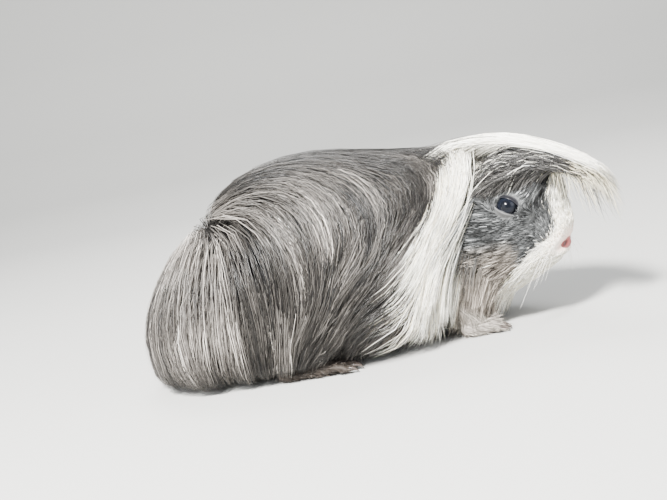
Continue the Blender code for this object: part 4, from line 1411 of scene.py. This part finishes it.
def makeThroatHair():  # soft hair that carries on from the cheek and hangs down and back
    count = throat["tufts"]

    def keep(p):
        inside = (p[:, 0] > 44) & (p[:, 0] < 88) & ~((p[:, 0] < 60) & (p[:, 2] > 44))
        return inside * (0.5 + fade(p[:, 0], 54, 66)) * (1 - fade(p[:, 2], *throat["high"]))
    roots = scatter(bodyPoints, bodyFaces, count, keep)
    side = np.where(roots[:, 1] > 0, 1.0, -1.0)
    lengths = rng.uniform(*throat["length"], count) * (1 - 0.72 * fade(roots[:, 0], 68, 84))
    sway = rng.normal(0, throat["sway"], count)
    points = roots.copy()
    path, normals = [points.copy()], []
    steps = throat["steps"]
    for k in range(steps + 1):
        normal = unit(sampleField(bodyField, points)[:, 2:5])
        normals.append(normal)
        if k == steps:
            break
        back = -0.5 - 1.5 * fade(points[:, 0], 64, 84) + sway * (1 - 1.4 * k / steps)
        way = np.stack([back, side * 0.12, np.full(count, -1.0)], axis=1)
        inward = np.minimum((way * normal).sum(axis=1), 0)[:, None]
        way = unit(way - inward * normal + normal * 0.42 * (1 - 1.3 * k / steps))
        points = points + way * (lengths / steps)[:, None]
        path.append(points.copy())
    path, normals = np.stack(path, axis=1), np.stack(normals, axis=1)
    path, normals = cutAtHem(path, normals, hem["low"] + 3 * rng.random(count) ** 2, throat["rings"])
    path, owner = gatherLocks(path, *throat["lock"])
    width = throat["width"] * rng.uniform(0.6, 1.2, count)
    colours = hairColours(roots, [owner], spread=throat["toneSpread"])
    made = tufts("coatThroat", path, normals, width, width * throat["thick"], colours)


makeThroatHair()


footFur = {"tufts": 2600, "length": (1.8, 3.8), "width": 0.32, "thick": 0.5, "foreGain": 2.2, "hindGain": 1.7,
           "forePale": (0.34, 0.31, 0.27), "toneSpread": 0.6, "rootPaintedShade": 0.7}


def makeFootFur():
    lowFaces = [f for f in skinFaces if skinPoints[f[0], 2] < 24]

    def keep(p):
        hind = (p[:, 0] > -72) & (p[:, 0] < -16) & (np.abs(p[:, 1]) > 36) & (p[:, 2] < 14)
        fore = (p[:, 0] > 34) & (p[:, 0] < 66) & (np.abs(p[:, 1]) > 18) & (p[:, 2] < 22)
        return (hind | fore) * (p[:, 2] > 1.2)
    count = footFur["tufts"]
    roots = scatter(skinPoints, lowFaces, count, keep)
    tree = treeOf(skinPoints, lowFaces)
    normals = np.array([tree.find_nearest(p)[1] for p in roots])
    wrist = fade(roots[:, 2], 9, 13)[:, None] * (roots[:, 0] > 20)[:, None]
    ahead = np.array((1.0, 0.0, -0.25)) * (1 - wrist) + np.array((0.15, 0.0, -1.0)) * wrist
    ahead = ahead + rng.normal(0, 0.18, roots.shape)
    flow = unit(ahead - (normals * ahead).sum(axis=1, keepdims=True) * normals + normals * 0.3)
    gain = np.where(roots[:, 0] > 20, footFur["foreGain"], footFur["hindGain"])
    lengths = rng.uniform(*footFur["length"], count) * gain * (1 + 1.2 * fade(roots[:, 2], 10, 16))
    t = np.linspace(0, 1, 3)
    path = roots[:, None] + flow[:, None] * (lengths[:, None] * t[None])[:, :, None]
    path[:, :, 2] = np.maximum(path[:, :, 2], 0.4)
    colours = hairColours(roots, spread=footFur["toneSpread"])
    fore = roots[:, 0] > 20
    colours[fore] = np.array(footFur["forePale"]) * rng.uniform(0.7, 1.15, fore.sum())[:, None]
    width = footFur["width"] * rng.uniform(0.7, 1.3, count)
    made = tufts("coatFeet", path, np.repeat(normals[:, None], 3, axis=1), width, width * footFur["thick"],
                 colours, rootPaintedShade=footFur["rootPaintedShade"], share=footShare)


makeFootFur()
setPoints(skin, turned(skinPoints, footShare(skinPoints)))
print("coat has", sum(coatCount), "triangles")


view = {"target": (-0.02035, 0, 0.0585), "azimuth": 2.98, "elevation": 9.32, "roll": 12.09,
        "distance": 0.62, "fieldOfView": 35.02}
studio = {
    "key": {"place": (-0.28, -0.85, 0.98), "size": 0.22, "power": 165.0, "colour": (1.0, 0.985, 0.955)},
    "fill": {"place": (-0.9, -0.9, 0.5), "size": 1.1, "power": 15.0, "colour": (0.95, 0.97, 1.0)},
    "front": {"place": (1.0, -0.6, 0.5), "size": 0.8, "power": 10.0, "colour": (0.97, 0.98, 1.0)},
    "rim": {"place": (-0.2, 0.7, 1.2), "size": 0.7, "power": 30.0, "colour": (1.0, 1.0, 1.0)},
}
daylight = {"colour": (0.86, 0.89, 0.93, 1), "strength": 1.05}
paper = {"colour": (0.33, 0.33, 0.32, 1), "roughness": 0.9}


def makeStudio():
    points, faces = [], []
    profile = [(-2.5, 0.0), (0.9, 0.0), (1.25, 0.03), (1.5, 0.12), (1.68, 0.3), (1.75, 0.6), (1.78, 3.0)]
    for x in (-4.0, 4.0):
        points += [(x / mm, y / mm, z / mm) for y, z in profile]
    count = len(profile)
    for i in range(count - 1):
        faces.append((i, count + i, count + i + 1, i + 1))
    floor = makeObject("studioFloor", points, faces)
    material, nodes, _ = newMaterial("paleFloor")
    nodes["Principled BSDF"].inputs["Base Color"].default_value = paper["colour"]
    nodes["Principled BSDF"].inputs["Roughness"].default_value = paper["roughness"]
    floor.data.materials.append(material)
    for name, spec in studio.items():
        data = bpy.data.lights.new(name + "Light", "AREA")
        data.size, data.energy, data.color = spec["size"], spec["power"], spec["colour"]
        lamp = bpy.data.objects.new(name + "Light", data)
        lamp.location = spec["place"]
        aim = Vector((0, 0, 0.05)) - lamp.location
        lamp.rotation_euler = aim.to_track_quat("-Z", "Y").to_euler()
        bpy.context.scene.collection.objects.link(lamp)
    world = bpy.data.worlds.new("studioWorld")
    world.use_nodes = True
    world.node_tree.nodes["Background"].inputs["Color"].default_value = daylight["colour"]
    world.node_tree.nodes["Background"].inputs["Strength"].default_value = daylight["strength"]
    bpy.context.scene.world = world


def makeCamera():
    data = bpy.data.cameras.new("camera")
    data.sensor_fit = "HORIZONTAL"
    data.angle = math.radians(view["fieldOfView"])
    data.clip_start = 0.01
    camera = bpy.data.objects.new("camera", data)
    bpy.context.scene.collection.objects.link(camera)
    turn, tilt = math.radians(view["azimuth"]), math.radians(view["elevation"])
    away = Vector((math.sin(turn) * math.cos(tilt), -math.cos(turn) * math.cos(tilt), math.sin(tilt)))
    camera.location = Vector(view["target"]) + away * view["distance"]
    level = (-away).to_track_quat("-Z", "Y").to_matrix().to_4x4()
    rolled = level @ Matrix.Rotation(math.radians(-view["roll"]), 4, "Z")
    camera.rotation_euler = rolled.to_euler()
    bpy.context.scene.camera = camera


print("studio")
makeStudio()
makeCamera()
